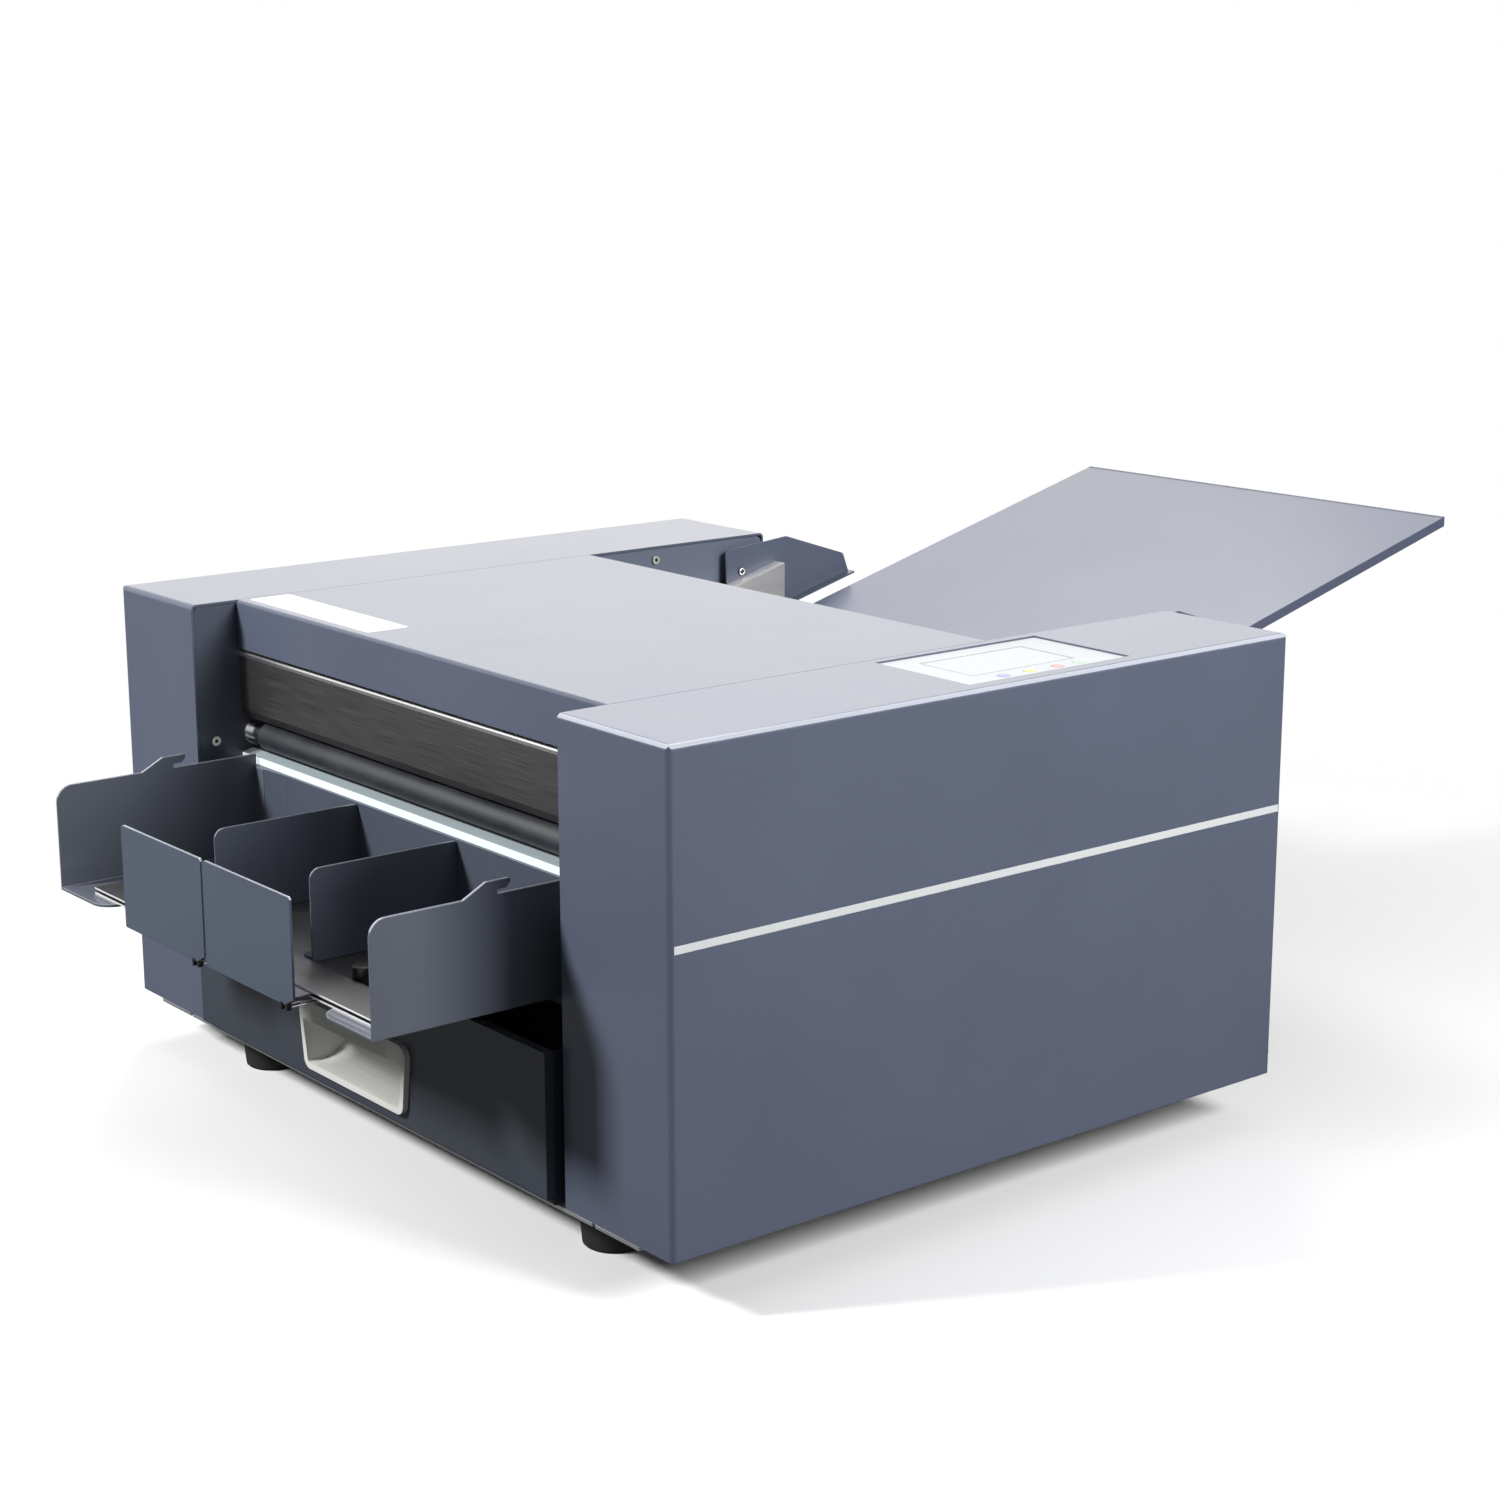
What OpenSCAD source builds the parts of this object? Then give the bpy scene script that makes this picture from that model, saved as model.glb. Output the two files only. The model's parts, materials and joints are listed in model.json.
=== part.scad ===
// Desktop card cutter: a sheet goes in at the back, is slit and cross-cut,
// and the cards drop into a catch tray at the front, the offcuts into a bin.
// X runs to the right, Y to the back and Z up. The feet stand on Z = 0.

/* [Body] */
// Overall width over the two side covers
body_w = 532; // [500:1:600]
// Depth of the side covers, front to back
body_d = 416; // [410:1:460]
// Height of the side covers, without the feet
body_h = 248; // [244:1:270]
// Width of each side cover
side_w = 86; // [84:1:95]
// Thickness of the painted cover sheet
sheet_t = 1.5; // [1:0.1:2]
// Outer radius of the folded cover edges
fold_r = 3; // [2.2:0.1:4]
// Height of the paper path above the underside of the covers
paper_h = 162.5; // [160:0.5:166]

/* [Base and feet] */
// Thickness of the base plate
base_t = 2; // [1.5:0.1:3]
// How far the base plate stays inside the covers at each side
base_inset = 26; // [20:1:28]
// Height of the rubber feet
foot_h = 27.5; // [20:0.5:40]
// Diameter of a foot at the top
foot_d = 38; // [30:1:46]
// Diameter of a foot where it stands
foot_low_d = 33; // [26:1:42]
// Distance of the feet's middles from the inner faces of the side covers
foot_in = 9; // [0:1:20]
// Distance of the feet from the front and rear of the covers
foot_inset = 36; // [30:1:60]

/* [Side frames] */
// Thickness of a side frame
frame_t = 3; // [2.5:0.5:4]
// Width of the frame's folded flanges
frame_flange = 14; // [12:1:20]
// Depth of the tabs that the top cover rests on
rest_tab = 9; // [6:0.5:12]

/* [Top cover] */
// Front face of the top cover behind the front of the side covers
cover_y = 28.5; // [26:0.5:29]
// Depth of the top cover
cover_d = 249.5; // [245:0.5:255]
// Height of the top cover's front lip
cover_lip = 28.2; // [26:0.2:30]
// Height of the folded sides of the top cover
cover_side = 11; // [8:0.5:12]
// Hinge pin diameter
hinge_d = 6; // [5:0.5:8]
// Hinge axis in front of the top cover's rear edge
hinge_back = 9; // [8:0.5:12]
// Hinge axis below the top face
hinge_drop = 10; // [9.5:0.5:11]

/* [Front] */
// Height of the brushed steel apron
apron_h = 38.5; // [36:0.5:40]
// Gap between the top cover's lip and the apron
apron_gap = 1.4; // [1:0.1:3]
// Height of the slanted fold along the apron's foot
apron_fold = 4.5; // [3:0.5:6]
// Thickness of the apron
apron_t = 1.5; // [1:0.1:2]
// Radius of the rolled bead along the apron's top
bead_r = 1.5; // [1.2:0.1:2]
// Height of the light bar's front edge
bar_front = 4.4; // [3:0.2:5]
// Depth of the light bar
bar_d = 9; // [8:0.5:9.5]

/* [Catch tray] */
// Distance from the inner covers to the end plates
catch_gap = 16.3; // [14:0.1:20]
// Reach of the end plates in front of the covers
catch_front = 95.5; // [90:0.5:110]
// Height of the end plates
catch_h = 58.6; // [55:0.2:60]
// Front top radius of the end plates
catch_r = 9; // [6:0.5:12]
// Thickness of the end plates
catch_t = 1.5; // [1.2:0.1:2]
// Depth of the floor of the tray below the paper path
catch_drop = 60.1; // [59:0.1:62]
// Width of the flange under each end plate
catch_flange = 51; // [40:1:55]
// Gap between the left end plate and the steel lane floor
floor_gap_left = 23.7; // [10:0.1:30]
// Gap between the right end plate and the steel lane floor
floor_gap_right = 3.7; // [3:0.1:12]
// Thickness of the lane floor sheet
floor_t = 1; // [0.8:0.1:1.5]
// Front edge of the lane floor behind the end plates' front
floor_set = 8.7; // [8:0.1:12]
// Clear height of the slot between the lane floor and the front rail
slot_h = 1.6; // [1.6:0.1:2.5]
// Depth of the front rail
rail_d = 24.8; // [20:0.2:26]
// Position of the left divider
divider_1_x = -51.5; // [-60:0.5:-45]
// Position of the right divider
divider_2_x = 47.1; // [40:0.1:60]
// Front edge of the dividers in front of the covers
divider_front = 59.5; // [55:0.5:59.5]
// Height of the dividers
divider_h = 48.5; // [40:0.5:55]
// Thickness of dividers and stops
divider_t = 1.2; // [1:0.1:1.5]
// Width of the divider's foot
divider_foot = 14; // [10:1:20]
// Corner radius of the dividers
divider_r = 6; // [3:0.5:10]
// Width of a front stop
stop_w = 87; // [80:1:88]
// Height of a front stop
stop_h = 56; // [45:1:60]
// Left edge of the left stop
stop_1_x = -81; // [-84:0.5:-79]
// Left edge of the right stop
stop_2_x = 8; // [8:0.5:14]
// Width of the cut at a stop's lower right corner
stop_cut_w = 8; // [4:0.5:12]
// Height of the cut at a stop's lower right corner
stop_cut_h = 4.7; // [2:0.1:8]

/* [Waste bin] */
// Gap between the bin and each side cover
bin_gap = 5; // [4:0.5:10]
// Height of the bin
bin_h = 80; // [70:1:84]
// Bin front in front of the covers
bin_proud = 7.4; // [5:0.2:10]
// Length of the bin, front to back
bin_d = 307; // [280:1:320]
// Wall of the bin
bin_t = 1.5; // [1:0.1:2]
// Thickness of the double front wall
bin_front_t = 5.5; // [4:0.5:8]
// Width of the handle cup at the top
cup_w = 110; // [90:1:130]
// Height of the handle cup
cup_h = 39; // [34:1:42]
// Depth of the handle cup behind the bin front
cup_d = 30; // [20:1:36]
// Wall of the handle cup at its back
cup_t = 2.5; // [2:0.5:3.5]
// Wall of the handle cup at its sides
cup_side = 1.2; // [1:0.1:2]

/* [Feed tray] */
// Slope of the feed tray in degrees
feed_a = 15.04; // [13.5:0.01:15.5]
// Gap between the feed tray and each side cover
feed_in = 26.5; // [22:0.5:35]
// Rear edge of the feed tray behind the front of the covers
feed_rear = 692; // [620:1:720]
// Sheet thickness of the feed tray
feed_t = 1.5; // [1.2:0.1:2]
// Depth of the feed tray's folded sides
feed_side = 6; // [5:0.5:10]
// Distance of the paper guides' inner faces from the side covers
guide_in = 16.3; // [15:0.1:20]
// Length of a paper guide
guide_l = 104; // [95:1:120]
// Length of a guide's steel liner
liner_l = 86; // [76:1:95]
// Gap between a guide plate and its steel liner
guide_step = 9.3; // [8:0.1:10]
// Diameter of the rod that carries the right guide
guide_rod_d = 8; // [6:0.5:9]
// Guide rod in front of the rear of the covers
rod_in = 21; // [19:0.5:28]

/* [Rollers] */
// Exit roller diameter over the rubber
exit_roller_d = 16; // [14:0.5:16]
// Exit roller shaft diameter
exit_shaft_d = 10; // [8:0.5:10.5]
// Gap between the exit rollers' ends and the side covers
exit_in = 16; // [12:0.5:20]
// Lower exit roller diameter
exit_low_d = 12; // [10:0.5:12]
// Exit roller behind the front of the covers
exit_y = 38; // [38:0.5:40]
// Feed roller diameter
feed_roller_d = 20; // [16:0.5:22]
// Width of one feed roller
feed_roller_w = 40; // [30:1:46]
// Distance from one feed roller to the next
feed_roller_pitch = 80; // [70:1:85]
// Feed roller shaft diameter
feed_shaft_d = 10; // [8:0.5:12]
// Feed rollers behind the front of the covers
feed_y = 270; // [265:1:272]

/* [Slitter] */
// Slitting blade diameter
slit_d = 30; // [28:0.5:32]
// Slitter shaft diameter
slit_shaft_d = 12; // [10:0.5:14]
// Overlap of an upper and a lower blade
slit_overlap = 1.5; // [1:0.1:2]
// Thickness of a slitting blade
slit_t = 3; // [2:0.5:4]
// Slitter shafts behind the front of the covers
slit_y = 205; // [200:1:210]
// Width of a cut card
card_w = 90; // [86:0.5:94]
// Distance from one card to the next across the sheet
card_pitch = 99; // [96:0.5:102]
// Teeth of the slitter gears
gear_teeth = 24; // [20:4:28]

/* [Cross cutter] */
// Plane of the cross cut behind the front of the covers
cut_y = 104; // [98:1:110]
// Stroke of the upper blade
cut_stroke = 8; // [6:0.5:9]
// Thickness of the upper blade
blade_t = 4; // [3:0.5:5]
// Height of the upper blade
blade_h = 28; // [24:1:30]
// Rise of the upper blade's edge above the paper path
blade_lift = 5; // [4:0.5:7]
// Diameter of the guide posts
post_d = 10; // [8:0.5:12]
// Distance of the guide posts from the side covers
post_in = 12; // [11:0.5:14]
// Distance of the cams from the guide posts
cam_in = 22; // [18:0.5:30]
// Distance from one screw of the upper blade to the next
blade_pitch = 45; // [40:1:48]
// Diameter of the camshaft
cam_shaft_d = 12; // [10:0.5:13]
// Smallest radius of the cams
cam_r = 8; // [7.5:0.5:9]

/* [Control panel] */
// Panel opening, left edge from the inner face of the cover
panel_in = 4.8; // [4:0.1:8]
// Panel opening, width
panel_w = 70.6; // [66:0.2:74]
// Panel opening, front edge behind the front of the covers
panel_y = 193; // [150:1:210]
// Panel opening, length
panel_l = 113; // [100:1:130]
// Depth of the panel face below the cover
panel_recess = 1; // [0.5:0.1:1.5]
// Distance of the display from the panel's inner edge
screen_in = 13; // [8:0.5:14]
// Width of the display
screen_w = 40; // [34:1:44]
// Length of the display
screen_l = 72; // [60:1:80]
// Distance of the keys' middles from the panel's inner edge
key_in = 61.9; // [60:0.1:64]
// Diameter of a key
key_d = 6.4; // [5:0.2:8]
// Height of a key above the panel
key_proud = 0.2; // [0.1:0.1:1]
// Travel of a key
key_travel = 0.5; // [0.3:0.1:1]

/* [Drive] */
// Outside radius of the belt pulleys for each millimetre of roller radius
pulley_k = 1.2; // [1.1:0.05:1.3]
// Width of the drive belt
belt_w = 8; // [6:1:10]
// Thickness of the drive belt
belt_t = 1.6; // [1.2:0.1:2]
// Drive motor flange size
motor_w = 57; // [42:1:60]
// Drive motor length
motor_l = 50; // [40:1:60]
// Cutter motor diameter
cutter_motor_d = 50; // [40:1:54]
// Cutter motor length
cutter_motor_l = 52; // [40:1:54]

/* [Control unit] */
// Length of the bracket
unit_l = 150; // [130:1:170]
// Height of the bracket
unit_h = 147; // [130:1:180]
// Distance of the bracket from the side frame
unit_out = 22; // [18:1:26]
// Rear end of the bracket in front of the rear of the covers
unit_rear = 36; // [30:1:60]
// Length of the power supply
supply_l = 100; // [80:1:120]
// Height of the power supply
supply_h = 54; // [40:1:70]
// Depth of the power supply
supply_w = 36; // [25:1:40]

/* [Fits] */
// Gap between parts that move past each other
gap = 0.3; // [0.2:0.05:0.4]
// Radial clearance of a shaft in its bush
fit = 0.05; // [0.03:0.01:0.08]
// Gap between the top cover and each side cover
cover_gap = 0.5; // [0.4:0.1:1]

/* [Hidden] */
$fn = 48;

// A little more than nothing, so that a cut passes its face
eps = 0.5;

// Main planes
half_w = body_w / 2;
in_x = half_w - side_w;
z_base = foot_h + base_t;
z_top = z_base + body_h;
paper_z = z_base + paper_h;
frame_x = in_x + gap;
frame_out = frame_x + frame_t;
span_x = frame_x - 0.1;
frame_top = z_top - sheet_t - gap;
frame_y = sheet_t + gap;
foot_x = in_x - foot_in;

// Catch tray
end_x = in_x - catch_gap;
catch_z = paper_z - catch_drop;
floor_z = catch_z + catch_t;
floor_left = end_x - floor_gap_left;
floor_right = end_x - floor_gap_right;
catch_top = catch_z + catch_h;
wall_y = cover_y - 1;
floor_y = -catch_front + floor_set;
slot_z = floor_z + floor_t;
stop_t = floor_t;
stop_y = -catch_front - 2.5;

// The row's origin is the middle of the whole machine on the ground
front_y = -(feed_rear + stop_y) / 2;

// Top cover
cover_rear = cover_y + cover_d;
cover_hw = in_x - cover_gap;
hinge_y = cover_rear - hinge_back;
hinge_z = z_top - hinge_drop;
lip_z = z_top - cover_lip;

// Exit
apron_y = cover_y + 1;
apron_top = lip_z - apron_gap;
exit_r = exit_roller_d / 2;
exit_z = paper_z - 1 + exit_r;
exit_low_r = exit_low_d / 2;
exit_step = 8;
exit_low_y = exit_y + exit_step;
nip = exit_r + exit_low_r + gap + 0.1;
exit_low_z = exit_z - sqrt(nip * nip - exit_step * exit_step);
bar_z = exit_z - exit_r - 0.5 - 6.6;

// Feed rollers, slitters and their gears
feed_r = feed_roller_d / 2;
feed_low_z = paper_z - feed_r;
feed_up_z = paper_z + feed_r + gap;
feed_spots = [for (k = [-1.5 : 1.5]) k * feed_roller_pitch];
feed_half = feed_spots[3] + feed_roller_w / 2;
slit_r = slit_d / 2;
slit_cd = slit_d - slit_overlap;
slit_low_z = paper_z - slit_cd / 2;
slit_up_z = paper_z + slit_cd / 2;
slit_hub_r = slit_shaft_d / 2 + 3;
slit_hub_w = 6;
slit_lines = [for (k = [-1, 0, 1]) for (s = [-1, 1]) k * card_pitch + s * card_w / 2];
slit_half = slit_lines[5] + slit_t + slit_hub_w;
shaft_end = frame_out + 5;
pulley_x = frame_out + 7;

// Cross cutter
beam_y = cut_y;
beam_d = 20;
beam_h = 23;
blade_z = paper_z + blade_lift;
beam_z = blade_z + 8;
beam_top = beam_z + beam_h;
post_x = in_x - post_in;
post_y = beam_y + beam_d / 2 + 4;
bed_y = cut_y + gap + 6;
bed_d = 22;
bed_z = paper_z - 32;
cam_gap = 0.8;
cam_y = post_y;
cam_z = beam_top + cam_gap + cam_r;
cam_w = 10;
cam_x = post_x - cam_in;
screw_xs = [for (k = [-3 : 3]) k * blade_pitch];

// Feed tray: its upper face reaches the paper path at feed_low_y
feed_low_y = feed_y + 22;
feed_join_z = paper_z + 1;
feed_half_w = in_x - feed_in;
guide_x = in_x - guide_in;
rod_y = body_d - rod_in;
rod_drop = 12;
rod_hub_r = guide_rod_d / 2 + 3;

// Drive motor
motor_y = body_d - 60;
motor_z = z_base + 75;
motor_pulley_r = 9;
motor_boss_r = 11;

function feed_z(y) = feed_join_z + (y - feed_low_y) * tan(feed_a);
rod_z = feed_z(rod_y) - rod_drop;

// Points of an arc about c from angle a0 to a1
function arc(c, r, a0, a1, n = 8) =
    [for (i = [0 : n]) let (a = a0 + (a1 - a0) * i / n) [c[0] + r * cos(a), c[1] + r * sin(a)]];

// A corner of an outline, rounded to radius r: a is the corner before, b the one after
function corner(a, p, b, r) =
    r <= 0 ? [p] :
    let (u = (a - p) / norm(a - p), v = (b - p) / norm(b - p),
         half = acos(u * v) / 2, c = p + (u + v) / norm(u + v) * r / sin(half),
         t0 = p + u * r / tan(half), t1 = p + v * r / tan(half),
         a0 = atan2(t0[1] - c[1], t0[0] - c[0]), a1 = atan2(t1[1] - c[1], t1[0] - c[0]),
         turn = a1 - a0, sweep = turn > 180 ? turn - 360 : turn < -180 ? turn + 360 : turn)
    arc(c, r, a0, a0 + sweep);

// An outline of points [x, y, radius] with its corners rounded
function outline(pts) = let (n = len(pts))
    [for (i = [0 : n - 1])
        let (a = pts[(i + n - 1) % n], p = pts[i], b = pts[(i + 1) % n])
        each corner([a[0], a[1]], [p[0], p[1]], [b[0], b[1]], p[2])];

module at_front() { translate([0, front_y, 0]) children(); }

module both_sides() {
    children();
    mirror([1, 0, 0]) children();
}

// A box given by its low and high corners
module block(lo, hi) { translate(lo) cube(hi - lo); }

// A flat Y-Z shape drawn out along X
module along_x(x0, x1) {
    translate([x0, 0, 0]) rotate([90, 0, 90]) linear_extrude(x1 - x0) children();
}

// A flat X-Z shape drawn out along Y
module along_y(y0, y1) {
    translate([0, y1, 0]) rotate([90, 0, 0]) linear_extrude(y1 - y0) children();
}

module rod_x(x0, x1, y, z, r) {
    translate([x0, y, z]) rotate([0, 90, 0]) cylinder(h = x1 - x0, r = r);
}

// A rectangle whose corners have their own radii: [low left, low right, up right, up left]
module soft_rect(x0, y0, x1, y1, r) {
    polygon(outline([[x0, y0, r[0]], [x1, y0, r[1]], [x1, y1, r[2]], [x0, y1, r[3]]]));
}

// The right side cover's form, grown or shrunk by d on its closed sides
module cover_form(d, open) {
    x0 = in_x - open;
    x1 = half_w + d;
    y0 = -d;
    y1 = body_d + d;
    z0 = z_base - open;
    z1 = z_top + d;
    r = fold_r + d;
    intersection() {
        translate([0, 0, z0]) linear_extrude(z1 - z0) soft_rect(x0, y0, x1, y1, [0, r, r, 0]);
        along_y(y0, y1) soft_rect(x0, z0, x1, z1, [open > 0 ? 0 : 2, 0, r, 0]);
        along_x(x0, x1) soft_rect(y0, z0, y1, z1, [0, 0, r, r]);
    }
}

// The cover's shell with the flange that stands on the base plate
module cover_shell() {
    difference() {
        cover_form(0, 0);
        cover_form(-sheet_t, eps);
    }
    block([half_w - base_inset - 8, 20, z_base], [half_w - sheet_t / 2, body_d - 20, z_base + sheet_t]);
}

module left_side_cover() {
    color("#5b6270") at_front() mirror([1, 0, 0]) difference() {
        cover_shell();
        inlet_cut();
    }
}

module panel_opening(d, z0, z1) {
    block([panel_x - d, panel_y - d, z0], [panel_x + panel_w + d, panel_y + panel_l + d, z1]);
}

module right_side_cover() {
    color("#5b6270") at_front() difference() {
        cover_shell();
        panel_opening(0, z_top - sheet_t - eps, z_top + eps);
    }
}

// Base, with the notches in its front edge
notch_w = 2.5;
notch_d = 8;
module base_plate() {
    hw = half_w - base_inset;
    color("silver") at_front() difference() {
        block([-hw, 0, foot_h], [hw, body_d - 12, z_base]);
        both_sides() block([in_x + 22, -eps, foot_h - eps], [in_x + 22 + notch_w, notch_d, z_base + eps]);
        for (x = [-60, 60]) translate([x, body_d - 100, foot_h - eps]) cylinder(h = base_t + 2 * eps, r = 20);
    }
}

module rubber_feet() {
    color("#18191b") at_front()
        for (x = [-foot_x, foot_x], y = [foot_inset, body_d - 12 - foot_inset]) translate([x, y, 0])
            rotate_extrude() polygon([[4, 6], [10, 6], [10, 0], [foot_low_d / 2 - 1, 0], [foot_low_d / 2, 1],
                [foot_d / 2, foot_h - 1], [foot_d / 2 - 1, foot_h], [4, foot_h]]);
}

// Side frames: folded plates with the bush seats of every shaft
bush_wall = 2;
bush_rim = 0.6;
bush_rim_t = 0.7;
shafts = [[exit_y, exit_z, exit_shaft_d / 2], [exit_low_y, exit_low_z, 3.5],
    [feed_y, feed_low_z, feed_shaft_d / 2], [feed_y, feed_up_z, 3.5],
    [slit_y, slit_low_z, slit_shaft_d / 2], [slit_y, slit_up_z, slit_shaft_d / 2],
    [cam_y, cam_z, cam_shaft_d / 2]];

module side_frame() {
    y1 = body_d - frame_y;
    tab_y = apron_y + 8;
    difference() {
        union() {
            along_x(frame_x, frame_out)
                polygon(outline([[frame_y, z_base, 0], [y1, z_base, 0],
                    [y1, frame_top, 4], [frame_y, frame_top, 2.5]]));
            for (y = [frame_y, y1 - frame_t])
                block([frame_x, y, z_base], [frame_x + frame_flange, y + frame_t, frame_top - 10]);
            block([frame_x, frame_y, z_base], [frame_x + frame_flange, y1, z_base + frame_t]);
            block([in_x - rest_tab, tab_y, z_top - sheet_t - cover_side - gap - 2],
                [frame_out, tab_y + 12, z_top - sheet_t - cover_side - gap]);
        }
        for (s = shafts) rod_x(in_x, frame_out + eps, s[0], s[1], s[2] + bush_wall + 0.02);
        rod_x(in_x, frame_out + eps, hinge_y, hinge_z, hinge_d / 2 + 0.02);
        rod_x(in_x, frame_out + eps, rod_y, rod_z, guide_rod_d / 2 + 0.02);
        for (s = screw_spots) rod_x(in_x - eps, frame_out + eps, s[0], s[1], screw_r + 0.05);
    }
}
module right_side_frame() {
    color("#4a5160") at_front() difference() {
        side_frame();
        rod_x(in_x, frame_out + eps, motor_y, motor_z, motor_boss_r + 1);
    }
}
module left_side_frame() { color("#4a5160") at_front() mirror([1, 0, 0]) side_frame(); }

screw_r = 1.5;
screw_head_r = 2.8;
screw_spots = [[11.8, paper_z + 5.2], [cover_rear + 50, z_top - 8.8],
    [11.8, z_base + 30], [body_d - 20, z_base + 60]];
module case_screws() {
    color("silver") at_front() both_sides() for (s = screw_spots) {
        rod_x(frame_x, frame_out + 4, s[0], s[1], screw_r);
        difference() {
            rod_x(frame_x - 1.2, frame_x, s[0], s[1], screw_head_r);
            rod_x(frame_x - 1.2 - eps, frame_x - 0.5, s[0], s[1], 1.2, $fn = 6);
        }
    }
}

module rear_panel() {
    y = body_d - 6;
    w = span_x;
    z1 = feed_z(y) - feed_side - 4;
    color("#4a5160") at_front() difference() {
        union() {
            block([-w, y, z_base], [w, y + sheet_t, z1]);
            block([-w, y - 12, z_base], [w, y, z_base + sheet_t]);
            block([-w, rod_y + rod_hub_r + 2, z1 - sheet_t], [w, y, z1]);
        }
        for (i = [-6 : 6])
            block([i * 12 - 3, y - eps, z_base + 30], [i * 12 + 3, y + sheet_t + eps, z_base + 70]);
    }
}

module power_inlet() {
    x = -(half_w - side_w / 2);
    y = body_d;
    color("#141414") at_front() difference() {
        union() {
            block([x - 14, y, z_base + 25], [x + 14, y + 2, z_base + 80]);
            block([x - 12, y - 22, z_base + 28], [x + 12, y, z_base + 77]);
        }
        block([x - 10, y - 16, z_base + 30], [x + 10, y + 3, z_base + 50]);
        block([x - rocker_w / 2 - gap, y - 9, z_base + 55], [x + rocker_w / 2 + gap, y + 3, z_base + 75]);
        rod_x(x - rocker_w / 2 - rocker_pin - gap, x + rocker_w / 2 + rocker_pin + gap,
            rocker_axis_y, rocker_axis_z, rocker_pin_r + fit);
    }
    color("silver") at_front() for (d = [[-5, 38], [5, 38], [0, 43]])
        block([x + d[0] - 1, y - 16 - eps, z_base + d[1] - 2], [x + d[0] + 1, y - 3, z_base + d[1] + 2]);
}

rocker_w = 13;
rocker_out = 6.2;
rocker_tilt = 7;
rocker_axis_y = body_d - 3;
rocker_axis_z = z_base + 65;
rocker_pin = 1.6;
rocker_pin_r = 1.2;
module inlet_cut() {
    x = half_w - side_w / 2;
    block([x - 12.2, body_d - 4, z_base + 27.8], [x + 12.2, body_d + eps, z_base + 77.2]);
}
module power_rocker() {
    x = -(half_w - side_w / 2);
    color("#8c1a16") at_front() {
        along_x(x - rocker_w / 2, x + rocker_w / 2)
            translate([rocker_axis_y, rocker_axis_z]) rotate(-rocker_tilt)
                polygon(outline([[-5, -5.5, 3], [rocker_out, -7.4, 0.5], [rocker_out - 1.4, 0, 0],
                    [rocker_out, 7.4, 0.5], [-5, 5.5, 3]]));
        rod_x(x - rocker_w / 2 - rocker_pin, x + rocker_w / 2 + rocker_pin,
            rocker_axis_y, rocker_axis_z, rocker_pin_r);
    }
}

// Front of the machine between the side covers
module exit_apron() {
    w = span_x;
    z0 = apron_top - apron_h;
    z1 = z0 + apron_fold;
    y1 = apron_y + apron_fold / 2;
    color("#57565a") at_front() {
        block([-w, apron_y, z1], [w, apron_y + apron_t, apron_top - bead_r]);
        rod_x(-w, w, apron_y + bead_r, apron_top - bead_r, bead_r);
        along_x(-w, w) polygon([[apron_y, z1], [y1, z0], [y1 + apron_t, z0], [apron_y + apron_t, z1],
            [apron_y + apron_t, z1 + 1], [apron_y, z1 + 1]]);
        both_sides() block([w - apron_t, apron_y, z0 + 8], [w, apron_y + 14, apron_top - 3]);
    }
}

module exit_light_bar() {
    w = span_x;
    y0 = cover_y + 0.2;
    y1 = y0 + bar_d;
    color("#cfdcdc") at_front() along_x(-w, w)
        polygon(outline([[y0, bar_z, 0.6], [y1, bar_z, 0], [y1, bar_z + 6.2, 0.5], [y1 - 1.6, bar_z + 6.2, 0.5],
            [y0, bar_z + bar_front, 0.8]]));
}

module catch_back_wall() {
    w = span_x;
    z0 = catch_z - 14;
    color("#4a5160") at_front() {
        block([-w, wall_y, z0], [w, wall_y + catch_t, bar_z]);
        block([-w, wall_y, bar_z - catch_t], [w, wall_y + 10, bar_z]);
        block([-w, wall_y, z0], [w, wall_y + 8, z0 + catch_t]);
        both_sides() block([w - catch_t, wall_y, z0], [w, wall_y + 10, bar_z]);
    }
}

// End plates of the catch tray, with a hooked tab on the top edge
tab_h = 6.8;
hook_gap = 2.2;
module end_plate() {
    f = -catch_front;
    t = catch_top;
    along_x(end_x - catch_t, end_x)
        polygon(outline([[f, catch_z, 0], [wall_y, catch_z, 0], [wall_y, t, 0], [-24.8, t, 0.6],
            [-24.8, t + hook_gap, 0.6], [-19.6, t + hook_gap, 0.6], [-17, t + tab_h - 1.8, 0.8],
            [-17.6, t + tab_h, 0.8], [-31, t + tab_h, 2], [-44, t, 2], [f, t, catch_r]]));
    translate([0, 0, catch_z]) linear_extrude(catch_t)
        polygon(outline([[end_x - catch_t / 2, f, 0], [end_x - catch_t / 2, wall_y, 0],
            [end_x - catch_flange, wall_y, 0], [end_x - catch_flange, f, 12]]));
    block([end_x - 12, wall_y - catch_t, catch_z], [end_x - catch_t / 2, wall_y, bar_z - 0.5]);
}
module right_end_plate() { color("#5b6270") at_front() end_plate(); }
module left_end_plate() { color("#5b6270") at_front() mirror([1, 0, 0]) end_plate(); }

// The steel floor of the lanes and the rail that closes a slot above its front edge
module lane_floor() {
    color("#77787a") at_front()
        block([-floor_left, floor_y, floor_z], [floor_right, wall_y - catch_t - gap, slot_z]);
}
module front_rail() {
    y1 = floor_y + rail_d;
    z1 = slot_z + slot_h;
    color("#9a9b9d") at_front() {
        block([-floor_left, floor_y, z1], [floor_right, y1, z1 + floor_t]);
        block([-floor_left, y1 - floor_t, slot_z], [floor_right, y1, z1 + floor_t]);
    }
}

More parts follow.
